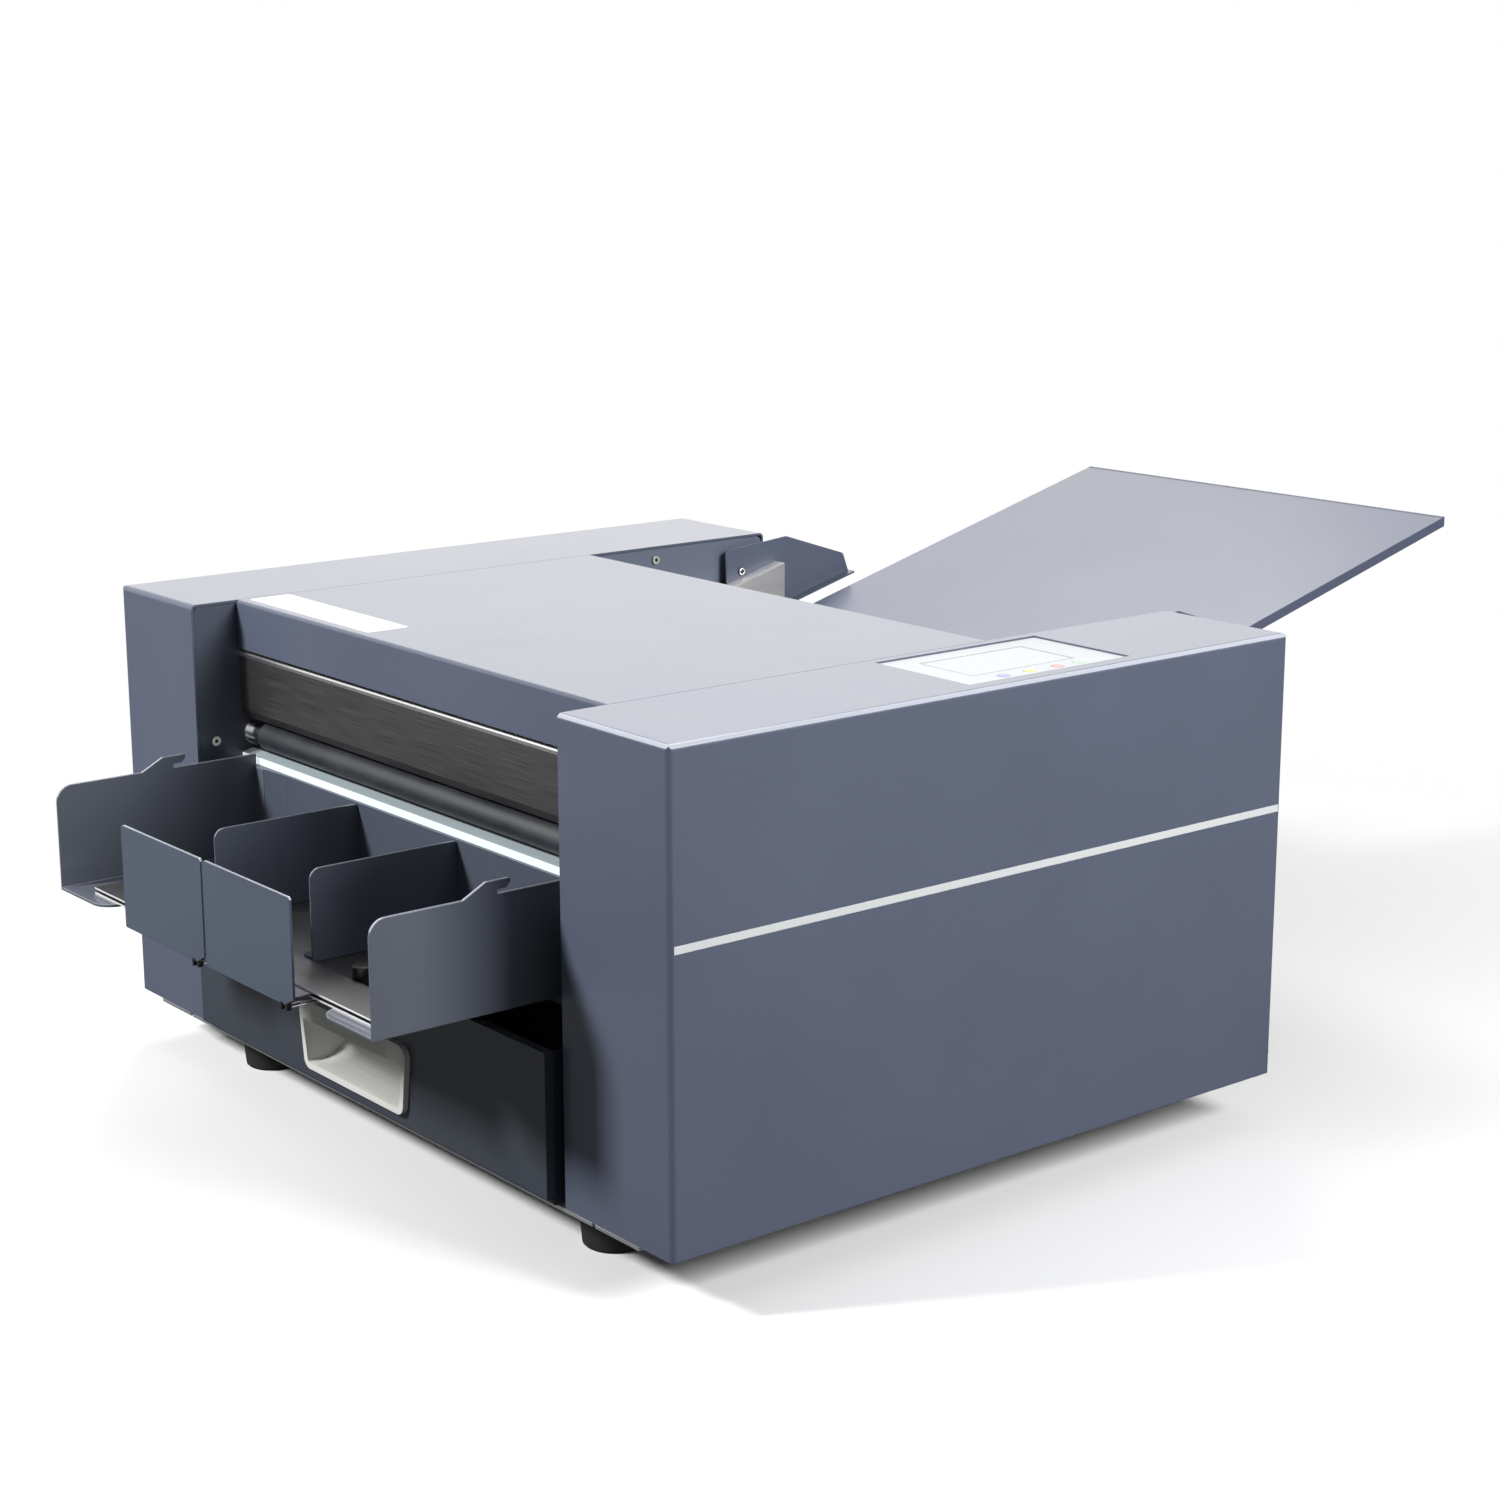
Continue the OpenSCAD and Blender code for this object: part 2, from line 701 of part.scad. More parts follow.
// Lane dividers stand on the floor with a folded foot
module divider(x) {
    z0 = slot_z + gap;
    y1 = wall_y - catch_t - 2;
    color("#5b6270") at_front() {
        along_x(x - divider_t / 2, x + divider_t / 2)
            polygon(outline([[-divider_front, z0, 0], [y1, z0, 0], [y1, z0 + divider_h, 3],
                [-divider_front, z0 + divider_h, divider_r]]));
        translate([0, 0, z0]) linear_extrude(divider_t)
            polygon(outline([[x - divider_foot, -divider_front + 2, 3], [x, -divider_front + 2, 0],
                [x, y1, 0], [x - divider_foot, y1, 3]]));
    }
}
module divider_left() { divider(divider_1_x); }
module divider_right() { divider(divider_2_x); }

// Front stops: a plate with one corner cut off and a tongue that slides in the slot
module front_stop(x) {
    z0 = catch_z - 1.4;
    z1 = z0 + stop_h;
    tongue_z = slot_z + (slot_h - stop_t) / 2;
    color("#5b6270") at_front() {
        along_y(stop_y, stop_y + divider_t)
            polygon(outline([[x, z0, 1], [x + stop_w - stop_cut_w, z0, 0.5],
                [x + stop_w, z0 + stop_cut_h, 0.5], [x + stop_w, z1, 2], [x, z1, 3]]));
        block([x + 2, stop_y + divider_t / 2, tongue_z],
            [x + stop_w - 2, floor_y + rail_d - floor_t - 2, tongue_z + stop_t]);
    }
}
module front_stop_left() { front_stop(stop_1_x); }
module front_stop_right() { front_stop(stop_2_x); }

// Waste bin with a double front wall and a handle cup let into it
bin_z = z_base + gap;
bin_lift = 4.4;
cup_top = bin_z + 50;
cup_x = -2;
function cup_outline(d) = outline([[cup_x - cup_w / 2 + 5 - d, cup_top - cup_h - d, 6 + d],
    [cup_x + cup_w / 2 - 5 + d, cup_top - cup_h - d, 6 + d],
    [cup_x + cup_w / 2 + d, cup_top + d, 7 + d], [cup_x - cup_w / 2 - d, cup_top + d, 7 + d]]);

module waste_bin() {
    hw = in_x - bin_gap;
    y0 = -bin_proud;
    y1 = y0 + bin_d;
    z1 = bin_z + bin_h;
    color("#4a5160") at_front() difference() {
        union() {
            block([-hw, y0, bin_z + bin_lift], [hw, y0 + bin_front_t, z1]);
            along_x(-hw + 1, hw - 1) polygon([[y0 + bin_front_t, bin_z], [y1, bin_z], [y1, z1 - 1],
                [y0 + bin_front_t / 2, z1 - 1], [y0 + bin_front_t / 2, bin_z + bin_lift + 0.3]]);
        }
        block([-hw + 1 + bin_t, y0 + bin_front_t, bin_z + bin_t], [hw - 1 - bin_t, y1 - bin_t, z1 + eps]);
        along_y(y0 - eps, y0 + bin_front_t + eps) polygon(cup_outline(-cup_rim));
    }
}

cup_rim = 2;
cup_rim_t = 3.2;
module cup_scoop(d) {
    half = cup_w / 2 - cup_rim + d;
    y0 = -bin_proud - cup_rim_t - eps;
    y1 = -bin_proud + cup_d - cup_t + d;
    z0 = cup_top - cup_h + cup_rim + 1.5 - d;
    z1 = cup_top - 11 + d;
    along_x(cup_x - half, cup_x + half)
        polygon(outline([[y0, z0, 0], [y1, z0, z1 - z0 - 1], [y1, z1, 0], [y0, z1, 0]]));
}
module bin_handle() {
    y0 = -bin_proud;
    color("#e6e8e4") at_front() difference() {
        union() {
            along_y(y0 - cup_rim_t, y0) polygon(cup_outline(0));
            along_y(y0 - eps, y0 + bin_front_t + 1) polygon(cup_outline(-cup_rim - gap));
            intersection() {
                along_y(y0, y0 + cup_d) polygon(cup_outline(-cup_rim - gap));
                cup_scoop(cup_t);
            }
        }
        intersection() {
            along_y(y0 - 2 * cup_rim_t, y0 + cup_d) polygon(cup_outline(-cup_rim - gap - cup_side));
            cup_scoop(0);
        }
    }
}

// Top cover with folded lips and a hinge lug at each side
module top_cover() {
    hw = cover_hw;
    z0 = z_top - sheet_t;
    side_z = z0 - cover_side;
    lug_r = hinge_d / 2 + 4;
    color("#5b6270") at_front() difference() {
        union() {
            along_x(-hw, hw) polygon(concat(outline([[cover_y, lip_z, 0.6], [cover_y + sheet_t, lip_z, 0.6],
                [cover_y + sheet_t, z0, 0.5], [cover_rear - sheet_t, z0, 0.5],
                [cover_rear - sheet_t, side_z, 0], [cover_rear, side_z, 0],
                [cover_rear, z_top, 2], [cover_y, z_top, 2]])));
            both_sides() {
                block([hw - sheet_t, cover_y + 1, side_z], [hw, cover_rear - 1, z0 + 0.2]);
                rod_x(hw - sheet_t, hw, hinge_y, hinge_z, lug_r);
            }
            block([-hw + 1, cover_y + 1, side_z + 3], [hw - 1, cover_y + sheet_t, z0 + 0.2]);
        }
        both_sides() rod_x(hw - sheet_t - eps, hw + eps, hinge_y, hinge_z, hinge_d / 2 + fit);
    }
}
module hinge_pins() {
    color("silver") at_front() both_sides() {
        rod_x(cover_hw - sheet_t - 3, frame_out + 3, hinge_y, hinge_z, hinge_d / 2);
        rod_x(cover_hw - sheet_t - 4.5, cover_hw - sheet_t - gap, hinge_y, hinge_z, hinge_d / 2 + 1.5);
    }
}

// Paper table: two plates with windows for rollers and blades
table_flange = 10;
shaft_room = 13;
module window(half_x, y, half_y, z) {
    block([-half_x, y - half_y, z - 5], [half_x, y + half_y, z + 5]);
}
module paper_table() {
    w = span_x;
    z1 = paper_z - 0.8;
    color("#8b8d90") at_front() {
        block([-w, exit_low_y + 8, z1 - sheet_t], [w, cut_y - blade_t - 4, z1]);
        difference() {
            block([-w, bed_y + bed_d + 2, z1 - sheet_t], [w, feed_low_y - 3, z1]);
            window(slit_half + 7, slit_y, slit_r + 2, z1);
            window(feed_half + 20, feed_y, feed_r + 2, z1);
        }
        both_sides() {
            block([feed_half_w - 35, feed_low_y - 5, z1 - sheet_t], [feed_half_w - 10, feed_low_y + 10, z1]);
            block([w - sheet_t, exit_low_y + 10, z1 - table_flange], [w, cut_y - blade_t - 6, z1]);
            block([w - sheet_t, bed_y + bed_d + 4, z1 - table_flange], [w, slit_y - shaft_room, z1]);
            block([w - sheet_t, slit_y + shaft_room, z1 - table_flange], [w, feed_y - shaft_room, z1]);
        }
    }
}

// Feed tray: a sloping sheet with folded sides and lugs on the guide rod
module feed_tray() {
    hw = feed_half_w;
    y0 = feed_low_y;
    y1 = feed_rear;
    color("#8790a3") at_front() difference() {
        union() {
            along_x(-hw, hw) polygon([[y0, feed_z(y0) - feed_t], [y1, feed_z(y1) - feed_t],
                [y1, feed_z(y1)], [y0, feed_z(y0)]]);
            both_sides() along_x(hw - feed_t, hw) polygon([[y0 + 2, feed_z(y0 + 2) - feed_side],
                [y1, feed_z(y1) - feed_side], [y1, feed_z(y1) - 0.1], [y0 + 2, feed_z(y0 + 2) - 0.1]]);
            along_x(-hw, hw) polygon([[y1 - feed_t, feed_z(y1) - feed_side], [y1, feed_z(y1) - feed_side],
                [y1, feed_z(y1) - 0.1], [y1 - feed_t, feed_z(y1) - 0.1]]);
            both_sides() {
                rod_x(hw - feed_t, hw, rod_y, rod_z, rod_hub_r);
                block([hw - feed_t, rod_y - rod_hub_r, rod_z], [hw, rod_y + rod_hub_r, feed_z(rod_y) - feed_t]);
            }
        }
        both_sides() rod_x(hw - feed_t - eps, hw + eps, rod_y, rod_z, guide_rod_d / 2 + 0.02);
        block([30, rod_y - 6, rod_z], [hw - 8, rod_y + 6, feed_z(rod_y) + 6]);
    }
}

module guide_rod() {
    color("silver") at_front() rod_x(-frame_out - 2, frame_out + 2, rod_y, rod_z, guide_rod_d / 2);
}

// Paper guide: outer plate with a foot, standing on the slope of the tray
guide_t = 1.2;
liner_h = 31.5;
module guide_plate() {
    x1 = guide_x + guide_step;
    y0 = rod_y - 15;
    y1 = y0 + guide_l;
    lift = 0.8;
    along_x(x1, x1 + guide_t)
        polygon(outline([[y0, feed_z(y0) + lift, 0], [y1, feed_z(y1) + lift, 0], [y1 - 5, z_top - 19, 3],
            [y0 + 50, z_top - 2.8, 2], [y0, z_top - 7.5, 4]]));
    intersection() {
        along_x(x1 - 6, x1 + guide_t) polygon([[y0, feed_z(y0) + lift], [y1, feed_z(y1) + lift],
            [y1, feed_z(y1) + lift + guide_t], [y0, feed_z(y0) + lift + guide_t]]);
        block([x1 - 6, y0, 0], [x1 + guide_t, y1, z_top]);
    }
}
module guide_liner() {
    x0 = guide_x;
    y0 = rod_y - 60;
    y1 = y0 + liner_l;
    lift = 2.2;
    along_x(x0, x0 + guide_t) polygon(outline([[y0, feed_z(y0) + lift, 0], [y1, feed_z(y1) + lift, 0],
        [y1, feed_z(y1) + liner_h, 0.5], [y0, feed_z(y0) + liner_h, 2]]));
    along_x(x0 + guide_t / 2, x0 + guide_step - 0.05) polygon([[y0 + 2, feed_z(y0 + 2) + liner_h - guide_t],
        [y1, feed_z(y1) + liner_h - guide_t], [y1, feed_z(y1) + liner_h], [y0 + 2, feed_z(y0 + 2) + liner_h]]);
}
guide_screw_y = rod_y - 3;
guide_screw_z = z_top - 22;
module left_guide() {
    x1 = guide_x + guide_step;
    color("#5b6270") at_front() mirror([1, 0, 0]) {
        guide_plate();
        block([x1 + guide_t, guide_screw_y - 8, guide_screw_z - 7],
            [frame_x - 0.05, guide_screw_y + 16, guide_screw_z + 7]);
        rod_x(x1 - 1.2, x1, guide_screw_y, guide_screw_z, 2.6);
    }
}
module left_guide_liner() { color("#b9bbbd") at_front() mirror([1, 0, 0]) guide_liner(); }

// The right guide rides on the rod through a slot in the tray
module right_guide() {
    neck_x = guide_x - 20;
    color("#5b6270") at_front() difference() {
        union() {
            guide_plate();
            along_x(neck_x - 6, guide_x + guide_step + guide_t)
                polygon([[rod_y - 5, feed_z(rod_y - 5) + 0.8], [rod_y + 5, feed_z(rod_y + 5) + 0.8],
                    [rod_y + 5, feed_z(rod_y + 5) + 2], [rod_y - 5, feed_z(rod_y - 5) + 2]]);
            block([neck_x - 6, rod_y - 5, rod_z], [neck_x, rod_y + 5, feed_z(rod_y - 5) + 1]);
            rod_x(neck_x - 12, neck_x, rod_y, rod_z, rod_hub_r);
        }
        rod_x(neck_x - 13, neck_x + 1, rod_y, rod_z, guide_rod_d / 2 + fit);
    }
}
module right_guide_liner() { color("#b9bbbd") at_front() guide_liner(); }

// Cross cutter: bed, fixed blade, posts, beam, moving blade and camshaft
module cutter_bed() {
    w = span_x;
    z1 = paper_z - 2;
    color("#3c3e42") at_front() difference() {
        block([-w, bed_y, bed_z], [w, bed_y + bed_d, z1]);
        both_sides() translate([post_x, post_y, bed_z + 8]) cylinder(h = 40, r = post_d / 2 + 0.02);
        block([-in_x + 30, bed_y + 9, bed_z - eps], [in_x - 30, bed_y + bed_d - 5, z1 - 6]);
    }
}
module lower_blade() {
    z1 = paper_z - 0.6;
    color("#c9cbce") at_front() along_x(-in_x + 8, in_x - 8)
        polygon([[cut_y + gap, z1 - 22], [bed_y, z1 - 22], [bed_y, z1 - 1], [cut_y + gap, z1]]);
}
module guide_posts() {
    z0 = bed_z + 8;
    z1 = cam_z - cam_shaft_d / 2 - 1.3;
    color("silver") at_front() both_sides()
        translate([post_x, post_y, z0]) cylinder(h = z1 - z0, r = post_d / 2);
}
// A frame round each cam, so that the cam both lowers and lifts the beam
yoke_t = 3;
module cam_yoke() {
    reach = cam_r + cut_stroke + 1.5;
    z1 = cam_z + cam_r + cut_stroke + cam_gap;
    x0 = cam_x - cam_w / 2;
    difference() {
        block([x0, cam_y - reach - yoke_t, beam_top - yoke_t],
            [x0 + cam_w, cam_y + reach + yoke_t, z1 + yoke_t]);
        block([x0 - eps, cam_y - reach, beam_top], [x0 + cam_w + eps, cam_y + reach, z1]);
    }
}
module blade_beam() {
    w = in_x - 5;
    color("#3c3e42") at_front() difference() {
        union() {
            block([-w, beam_y, beam_z], [w, beam_y + 12, beam_top]);
            block([-w, beam_y, beam_top - 10], [w, beam_y + beam_d, beam_top]);
            both_sides() {
                block([post_x - 9, beam_y, beam_z], [w, post_y + 9, beam_top]);
                cam_yoke();
            }
        }
        both_sides() translate([post_x, post_y, beam_z - eps])
            cylinder(h = beam_h + 2 * eps, r = post_d / 2 + fit);
        for (x = screw_xs) translate([x, beam_y - eps, blade_z + blade_h - 10]) rotate([-90, 0, 0])
            cylinder(h = 8, r = 2.05);
    }
}
module upper_blade() {
    z1 = blade_z + blade_h;
    hw = in_x - 10;
    color("#d4d6d8") at_front() {
        difference() {
            along_y(cut_y - blade_t, cut_y)
                polygon([[-hw, blade_z + 2.5], [hw, blade_z], [hw, z1], [-hw, z1]]);
            translate([0, cut_y - blade_t, blade_z]) rotate([0, 90, 0]) translate([0, 0, -hw - eps])
                linear_extrude(2 * hw + 2 * eps) polygon([[eps, -eps], [-8, -eps], [eps, blade_t - 1.2]]);
            for (x = screw_xs) translate([x, cut_y - blade_t - eps, z1 - 10]) rotate([-90, 0, 0])
                cylinder(h = blade_t + 2 * eps, r = 2.05);
        }
        for (x = screw_xs) translate([x, cut_y - blade_t - 1.55, z1 - 10]) rotate([-90, 0, 0]) {
            cylinder(h = 1.5, r = 3.6);
            cylinder(h = blade_t + 6, r = 2);
        }
    }
}
// Each cam's radius grows evenly with the angle, so half a turn lowers the beam evenly
function cam_points() = [for (i = [0 : 35]) let (a = i * 10, d = a > 180 ? 360 - a : a)
    [(cam_r + cut_stroke * d / 180) * cos(a), (cam_r + cut_stroke * d / 180) * sin(a)]];
module camshaft() {
    color("#8b8d90") at_front() {
        rod_x(-frame_out - 20, shaft_end, cam_y, cam_z, cam_shaft_d / 2);
        both_sides() translate([cam_x - cam_w / 2, cam_y, cam_z]) rotate([0, 90, 0])
            linear_extrude(cam_w) polygon(cam_points());
    }
}

// Rollers
module pulley(y, z, r, shaft_r) {
    difference() {
        union() {
            rod_x(pulley_x, pulley_x + belt_w, y, z, r);
            for (x = [pulley_x - 1.5, pulley_x + belt_w]) rod_x(x, x + 1.5, y, z, r + belt_t + 1);
        }
        rod_x(pulley_x - 2, pulley_x + belt_w + 2, y, z, shaft_r);
    }
}
module sleeve(x0, x1, y, z, r, shaft_r) {
    difference() {
        rod_x(x0, x1, y, z, r);
        rod_x(x0 - eps, x1 + eps, y, z, shaft_r + 0.02);
    }
}
pulley_end = pulley_x + belt_w + 3;
module exit_upper_shaft() {
    color("silver") at_front() rod_x(-shaft_end, shaft_end, exit_y, exit_z, exit_shaft_d / 2);
}
module exit_upper_sleeve() {
    w = in_x - exit_in;
    color("#2b2c2e") at_front() sleeve(-w, w, exit_y, exit_z, exit_r, exit_shaft_d / 2);
}
module exit_lower_roller() {
    w = in_x - exit_in;
    color("#9a9b9d") at_front() {
        rod_x(-shaft_end, pulley_end, exit_low_y, exit_low_z, 3.5);
        rod_x(-w, w, exit_low_y, exit_low_z, exit_low_r);
        pulley(exit_low_y, exit_low_z, exit_low_r * pulley_k, 3.4);
    }
}
module feed_lower_shaft() {
    color("silver") at_front() {
        rod_x(-shaft_end, pulley_end, feed_y, feed_low_z, feed_shaft_d / 2);
        pulley(feed_y, feed_low_z, feed_r * pulley_k, feed_shaft_d / 2 - 0.1);
    }
}
module feed_lower_sleeves() {
    color("#2b2c2e") at_front() for (x = feed_spots)
        sleeve(x - feed_roller_w / 2, x + feed_roller_w / 2, feed_y, feed_low_z, feed_r, feed_shaft_d / 2);
}
module feed_upper_roller() {
    color("#9a9b9d") at_front() {
        rod_x(-shaft_end, shaft_end, feed_y, feed_up_z, 3.5);
        for (x = feed_spots)
            rod_x(x - feed_roller_w / 2, x + feed_roller_w / 2, feed_y, feed_up_z, feed_r);
        rod_x(-feed_half - 10, feed_half + 10, feed_y, feed_up_z, feed_r - 3);
    }
}

// Slitter shafts, each with a ring of gear teeth at its left end
module gear(y, z, phase) {
    n = gear_teeth;
    pitch_r = slit_cd / 2;
    mod = slit_cd / n;
    top = pitch_r + 0.8 * mod;
    root = pitch_r - 1.1 * mod;
    s = 90 / n;
    x0 = frame_out + 6;
    translate([-x0 - 8, y, z]) rotate([0, 90, 0]) rotate([0, 0, phase]) linear_extrude(8)
        polygon([for (i = [0 : n - 1]) let (a = i * 360 / n) each [
            [root * cos(a - 1.45 * s), root * sin(a - 1.45 * s)],
            [pitch_r * cos(a - 0.9 * s), pitch_r * sin(a - 0.9 * s)],
            [top * cos(a - 0.4 * s), top * sin(a - 0.4 * s)],
            [top * cos(a + 0.4 * s), top * sin(a + 0.4 * s)],
            [pitch_r * cos(a + 0.9 * s), pitch_r * sin(a + 0.9 * s)],
            [root * cos(a + 1.45 * s), root * sin(a + 1.45 * s)]]]);
}
module slitter_lower_shaft() {
    color("silver") at_front() {
        rod_x(-frame_out - 15, pulley_end, slit_y, slit_low_z, slit_shaft_d / 2);
        pulley(slit_y, slit_low_z, slit_r * pulley_k, slit_shaft_d / 2 - 0.1);
        gear(slit_y, slit_low_z, 0);
    }
}
module slitter_upper_shaft() {
    color("silver") at_front() {
        rod_x(-frame_out - 15, shaft_end, slit_y, slit_up_z, slit_shaft_d / 2);
        gear(slit_y, slit_up_z, 180 / gear_teeth);
    }
}
// A blade with its clamping hub; side is +1 or -1, the way the hub points
module slit_blade(x, z, side) {
    bore = slit_shaft_d / 2 + 0.02;
    x1 = x + side * slit_t;
    x2 = x1 + side * slit_hub_w;
    difference() {
        union() {
            rod_x(min(x, x1), max(x, x1), slit_y, z, slit_r);
            rod_x(min(x1, x2), max(x1, x2), slit_y, z, slit_hub_r);
        }
        rod_x(x - 20, x + 20, slit_y, z, bore);
    }
}
module slitter_lower_blades() {
    color("#c9cbce") at_front() for (x = slit_lines) slit_blade(x, slit_low_z, 1);
}
module slitter_upper_blades() {
    color("#c9cbce") at_front() for (x = slit_lines) slit_blade(x - gap / 2, slit_up_z, -1);
}

module shaft_bushes() {
    color("#b08d4a") at_front() both_sides() for (s = shafts) difference() {
        union() {
            rod_x(frame_x, frame_out + 2, s[0], s[1], s[2] + bush_wall);
            rod_x(frame_x - bush_rim_t, frame_x, s[0], s[1], s[2] + bush_wall + bush_rim);
        }
        rod_x(frame_x - 2, frame_out + 3, s[0], s[1], s[2] + fit);
    }
}

// Drive: motor inside the right frame at the back, its pulley and the belt outside
module drive_motor() {
    x1 = frame_x;
    color("#2f3033") at_front() {
        difference() {
            along_y(motor_y - motor_w / 2, motor_y + motor_w / 2)
                polygon(outline([[x1 - motor_l, motor_z - motor_w / 2, 2], [x1, motor_z - motor_w / 2, 0],
                    [x1, motor_z + motor_w / 2, 0], [x1 - motor_l, motor_z + motor_w / 2, 2]]));
            for (a = [0 : 3]) translate([0, motor_y, motor_z]) rotate([90 * a, 0, 0])
                rod_x(x1 - motor_l - 1, x1 - 8, motor_w / 2, motor_w / 2, 6);
        }
        rod_x(x1, pulley_x - 2, motor_y, motor_z, motor_boss_r);
    }
}
module motor_pulley() {
    color("silver") at_front() {
        rod_x(pulley_x - 1.7, pulley_end, motor_y, motor_z, 4);
        pulley(motor_y, motor_z, motor_pulley_r, 3.9);
    }
}
belt_wheels = [[exit_low_y, exit_low_z, exit_low_r * pulley_k], [slit_y, slit_low_z, slit_r * pulley_k],
    [feed_y, feed_low_z, feed_r * pulley_k], [motor_y, motor_z, motor_pulley_r]];
module belt_loop(d) { hull() for (w = belt_wheels) translate([w[0], w[1]]) circle(r = w[2] + d); }
module drive_belt() {
    color("#1c1c1d") at_front() along_x(pulley_x + gap, pulley_x + belt_w - gap) difference() {
        belt_loop(belt_t);
        belt_loop(gap);
    }
}
module cutter_motor() {
    x0 = frame_out + 10;
    half = cutter_motor_d / 2 + 1;
    color("#2f3033") at_front() mirror([1, 0, 0]) difference() {
        union() {
            rod_x(x0 + 3, x0 + cutter_motor_l, cam_y, cam_z, cutter_motor_d / 2);
            block([x0, cam_y - half, cam_z - half], [x0 + 4, cam_y + half, cam_z + half - 4]);
            for (y = [5 - half, half - 5], z = [5 - half, half - 9])
                rod_x(frame_out, x0 + 1, cam_y + y, cam_z + z, 3.5);
        }
        rod_x(x0 - 1, x0 + 12, cam_y, cam_z, cam_shaft_d / 2 + 2);
    }
}

// Bracket in the left cover with the power supply below and the control board above
module control_unit() {
    t = 2;
    x0 = -(frame_out + unit_out);
    x1 = x0 - t;
    y1 = body_d - unit_rear;
    y0 = y1 - unit_l;
    z0 = z_base + frame_t;
    z1 = z0 + unit_h;
    board_low = z1 - 70;
    color("#7d8084") at_front() {
        block([x1, y0, z0], [x0, y1, z1]);
        block([x1, y0, z0], [-frame_out, y1, z0 + t]);
        block([x1 - supply_w, y0 + 20, z0 + 9], [x1, y0 + 20 + supply_l, z0 + 9 + supply_h]);
        for (y = [y0 + 15, y1 - 25], z = [board_low + 5, z1 - 10]) rod_x(x1 - 6, x1, y, z, 3);
        block([x1 - 6 - board_t, y0 + 6, board_low], [x1 - 6, y1 - 16, z1 - 4]);
        for (i = [0 : 3])
            block([x1 - 18, y0 + 15 + i * 30, board_low + 10],
                [x1 - 6 - board_t, y0 + 32 + i * 30, board_low + 28]);
    }
}

// Control panel let into the right cover
panel_z = z_top - panel_recess;
panel_x = in_x + panel_in;
screen_x = panel_x + screen_in + screen_w / 2;
screen_gap = 0.4;
screen_y = panel_y + panel_l / 2 - 2;
key_x = panel_x + key_in;
key_ys = [for (d = [31.6, 49.8, 69.1, 84.6]) panel_y + d];
bezel_t = 3.5;
key_flange = 1;
board_z = z_top - sheet_t - bezel_t / 2 - 0.2 - key_flange - key_travel - 0.1;
board_t = 1.6;
module panel_bezel() {
    low = z_top - sheet_t;
    color("#eceeee") at_front() difference() {
        union() {
            panel_opening(-gap / 2, low - bezel_t / 2, panel_z);
            intersection() {
                panel_opening(3, low - bezel_t / 2, low);
                block([frame_out + gap, 0, low - bezel_t], [half_w, body_d, low]);
            }
            for (y = [panel_y + 6, panel_y + panel_l - 6], x = [panel_x + 8, panel_x + panel_w - 8])
                translate([x, y, board_z - board_t]) cylinder(h = low - board_z + board_t - 1, r = 2.5);
            block([panel_x + 3, panel_y + 2, board_z - board_t],
                [panel_x + panel_w - 2, panel_y + panel_l - 2, board_z]);
        }
        block([screen_x - screen_w / 2, screen_y - screen_l / 2, panel_z - 1.2],
            [screen_x + screen_w / 2, screen_y + screen_l / 2, panel_z + eps]);
        block([screen_x - screen_w / 2 + 2, screen_y - screen_l / 2 + 2, low - bezel_t],
            [screen_x + screen_w / 2 - 2, screen_y + screen_l / 2 - 2, panel_z]);
        for (y = key_ys) translate([key_x, y, low - bezel_t])
            cylinder(h = bezel_t + 2, r = key_d / 2 + gap);
    }
}
module display_window() {
    w = screen_w / 2 - screen_gap;
    l = screen_l / 2 - screen_gap;
    color("#c8ccd0") at_front()
        block([screen_x - w, screen_y - l, panel_z - 1.2], [screen_x + w, screen_y + l, panel_z - 0.1]);
}
module key(i, tint) {
    low = z_top - sheet_t - bezel_t / 2;
    color(tint) at_front() translate([key_x, key_ys[i], 0]) {
        translate([0, 0, low - 0.2]) cylinder(h = panel_z + key_proud - low + 0.2, r = key_d / 2);
        translate([0, 0, low - 0.2 - key_flange]) cylinder(h = key_flange, r = key_d / 2 + 1.2);
    }
}
module key_blue() { key(0, "#6f6fe0"); }
module key_yellow() { key(1, "#e6d24a"); }
module key_red() { key(2, "#e06a6a"); }
module key_green() { key(3, "#9ad69a"); }

base_plate();
rubber_feet();
left_side_frame();
right_side_frame();
left_side_cover();
right_side_cover();
rear_panel();
exit_apron();
exit_light_bar();
catch_back_wall();
left_end_plate();
right_end_plate();
lane_floor();
front_rail();
paper_table();
feed_tray();
guide_rod();
left_guide();
left_guide_liner();
cutter_bed();
lower_blade();
guide_posts();
shaft_bushes();
cutter_motor();
drive_motor();
drive_belt();
control_unit();
power_inlet();
panel_bezel();
display_window();
hinge_pins();
case_screws();
top_cover();
waste_bin();
bin_handle();
divider_left();
divider_right();
front_stop_left();
front_stop_right();
right_guide();
right_guide_liner();
key_blue();
key_yellow();
key_red();
key_green();
power_rocker();
blade_beam();
upper_blade();
camshaft();
feed_lower_shaft();
feed_lower_sleeves();
feed_upper_roller();
slitter_lower_shaft();
slitter_lower_blades();
slitter_upper_shaft();
slitter_upper_blades();
exit_lower_roller();
exit_upper_shaft();
exit_upper_sleeve();
motor_pulley();
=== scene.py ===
"""A desktop card cutter's materials, trim, floor, lamps and camera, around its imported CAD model.

Lengths are in millimetres until they reach Blender, which gets metres.
"""

import json
import math

import bmesh
import bpy
from mathutils import Matrix, Vector


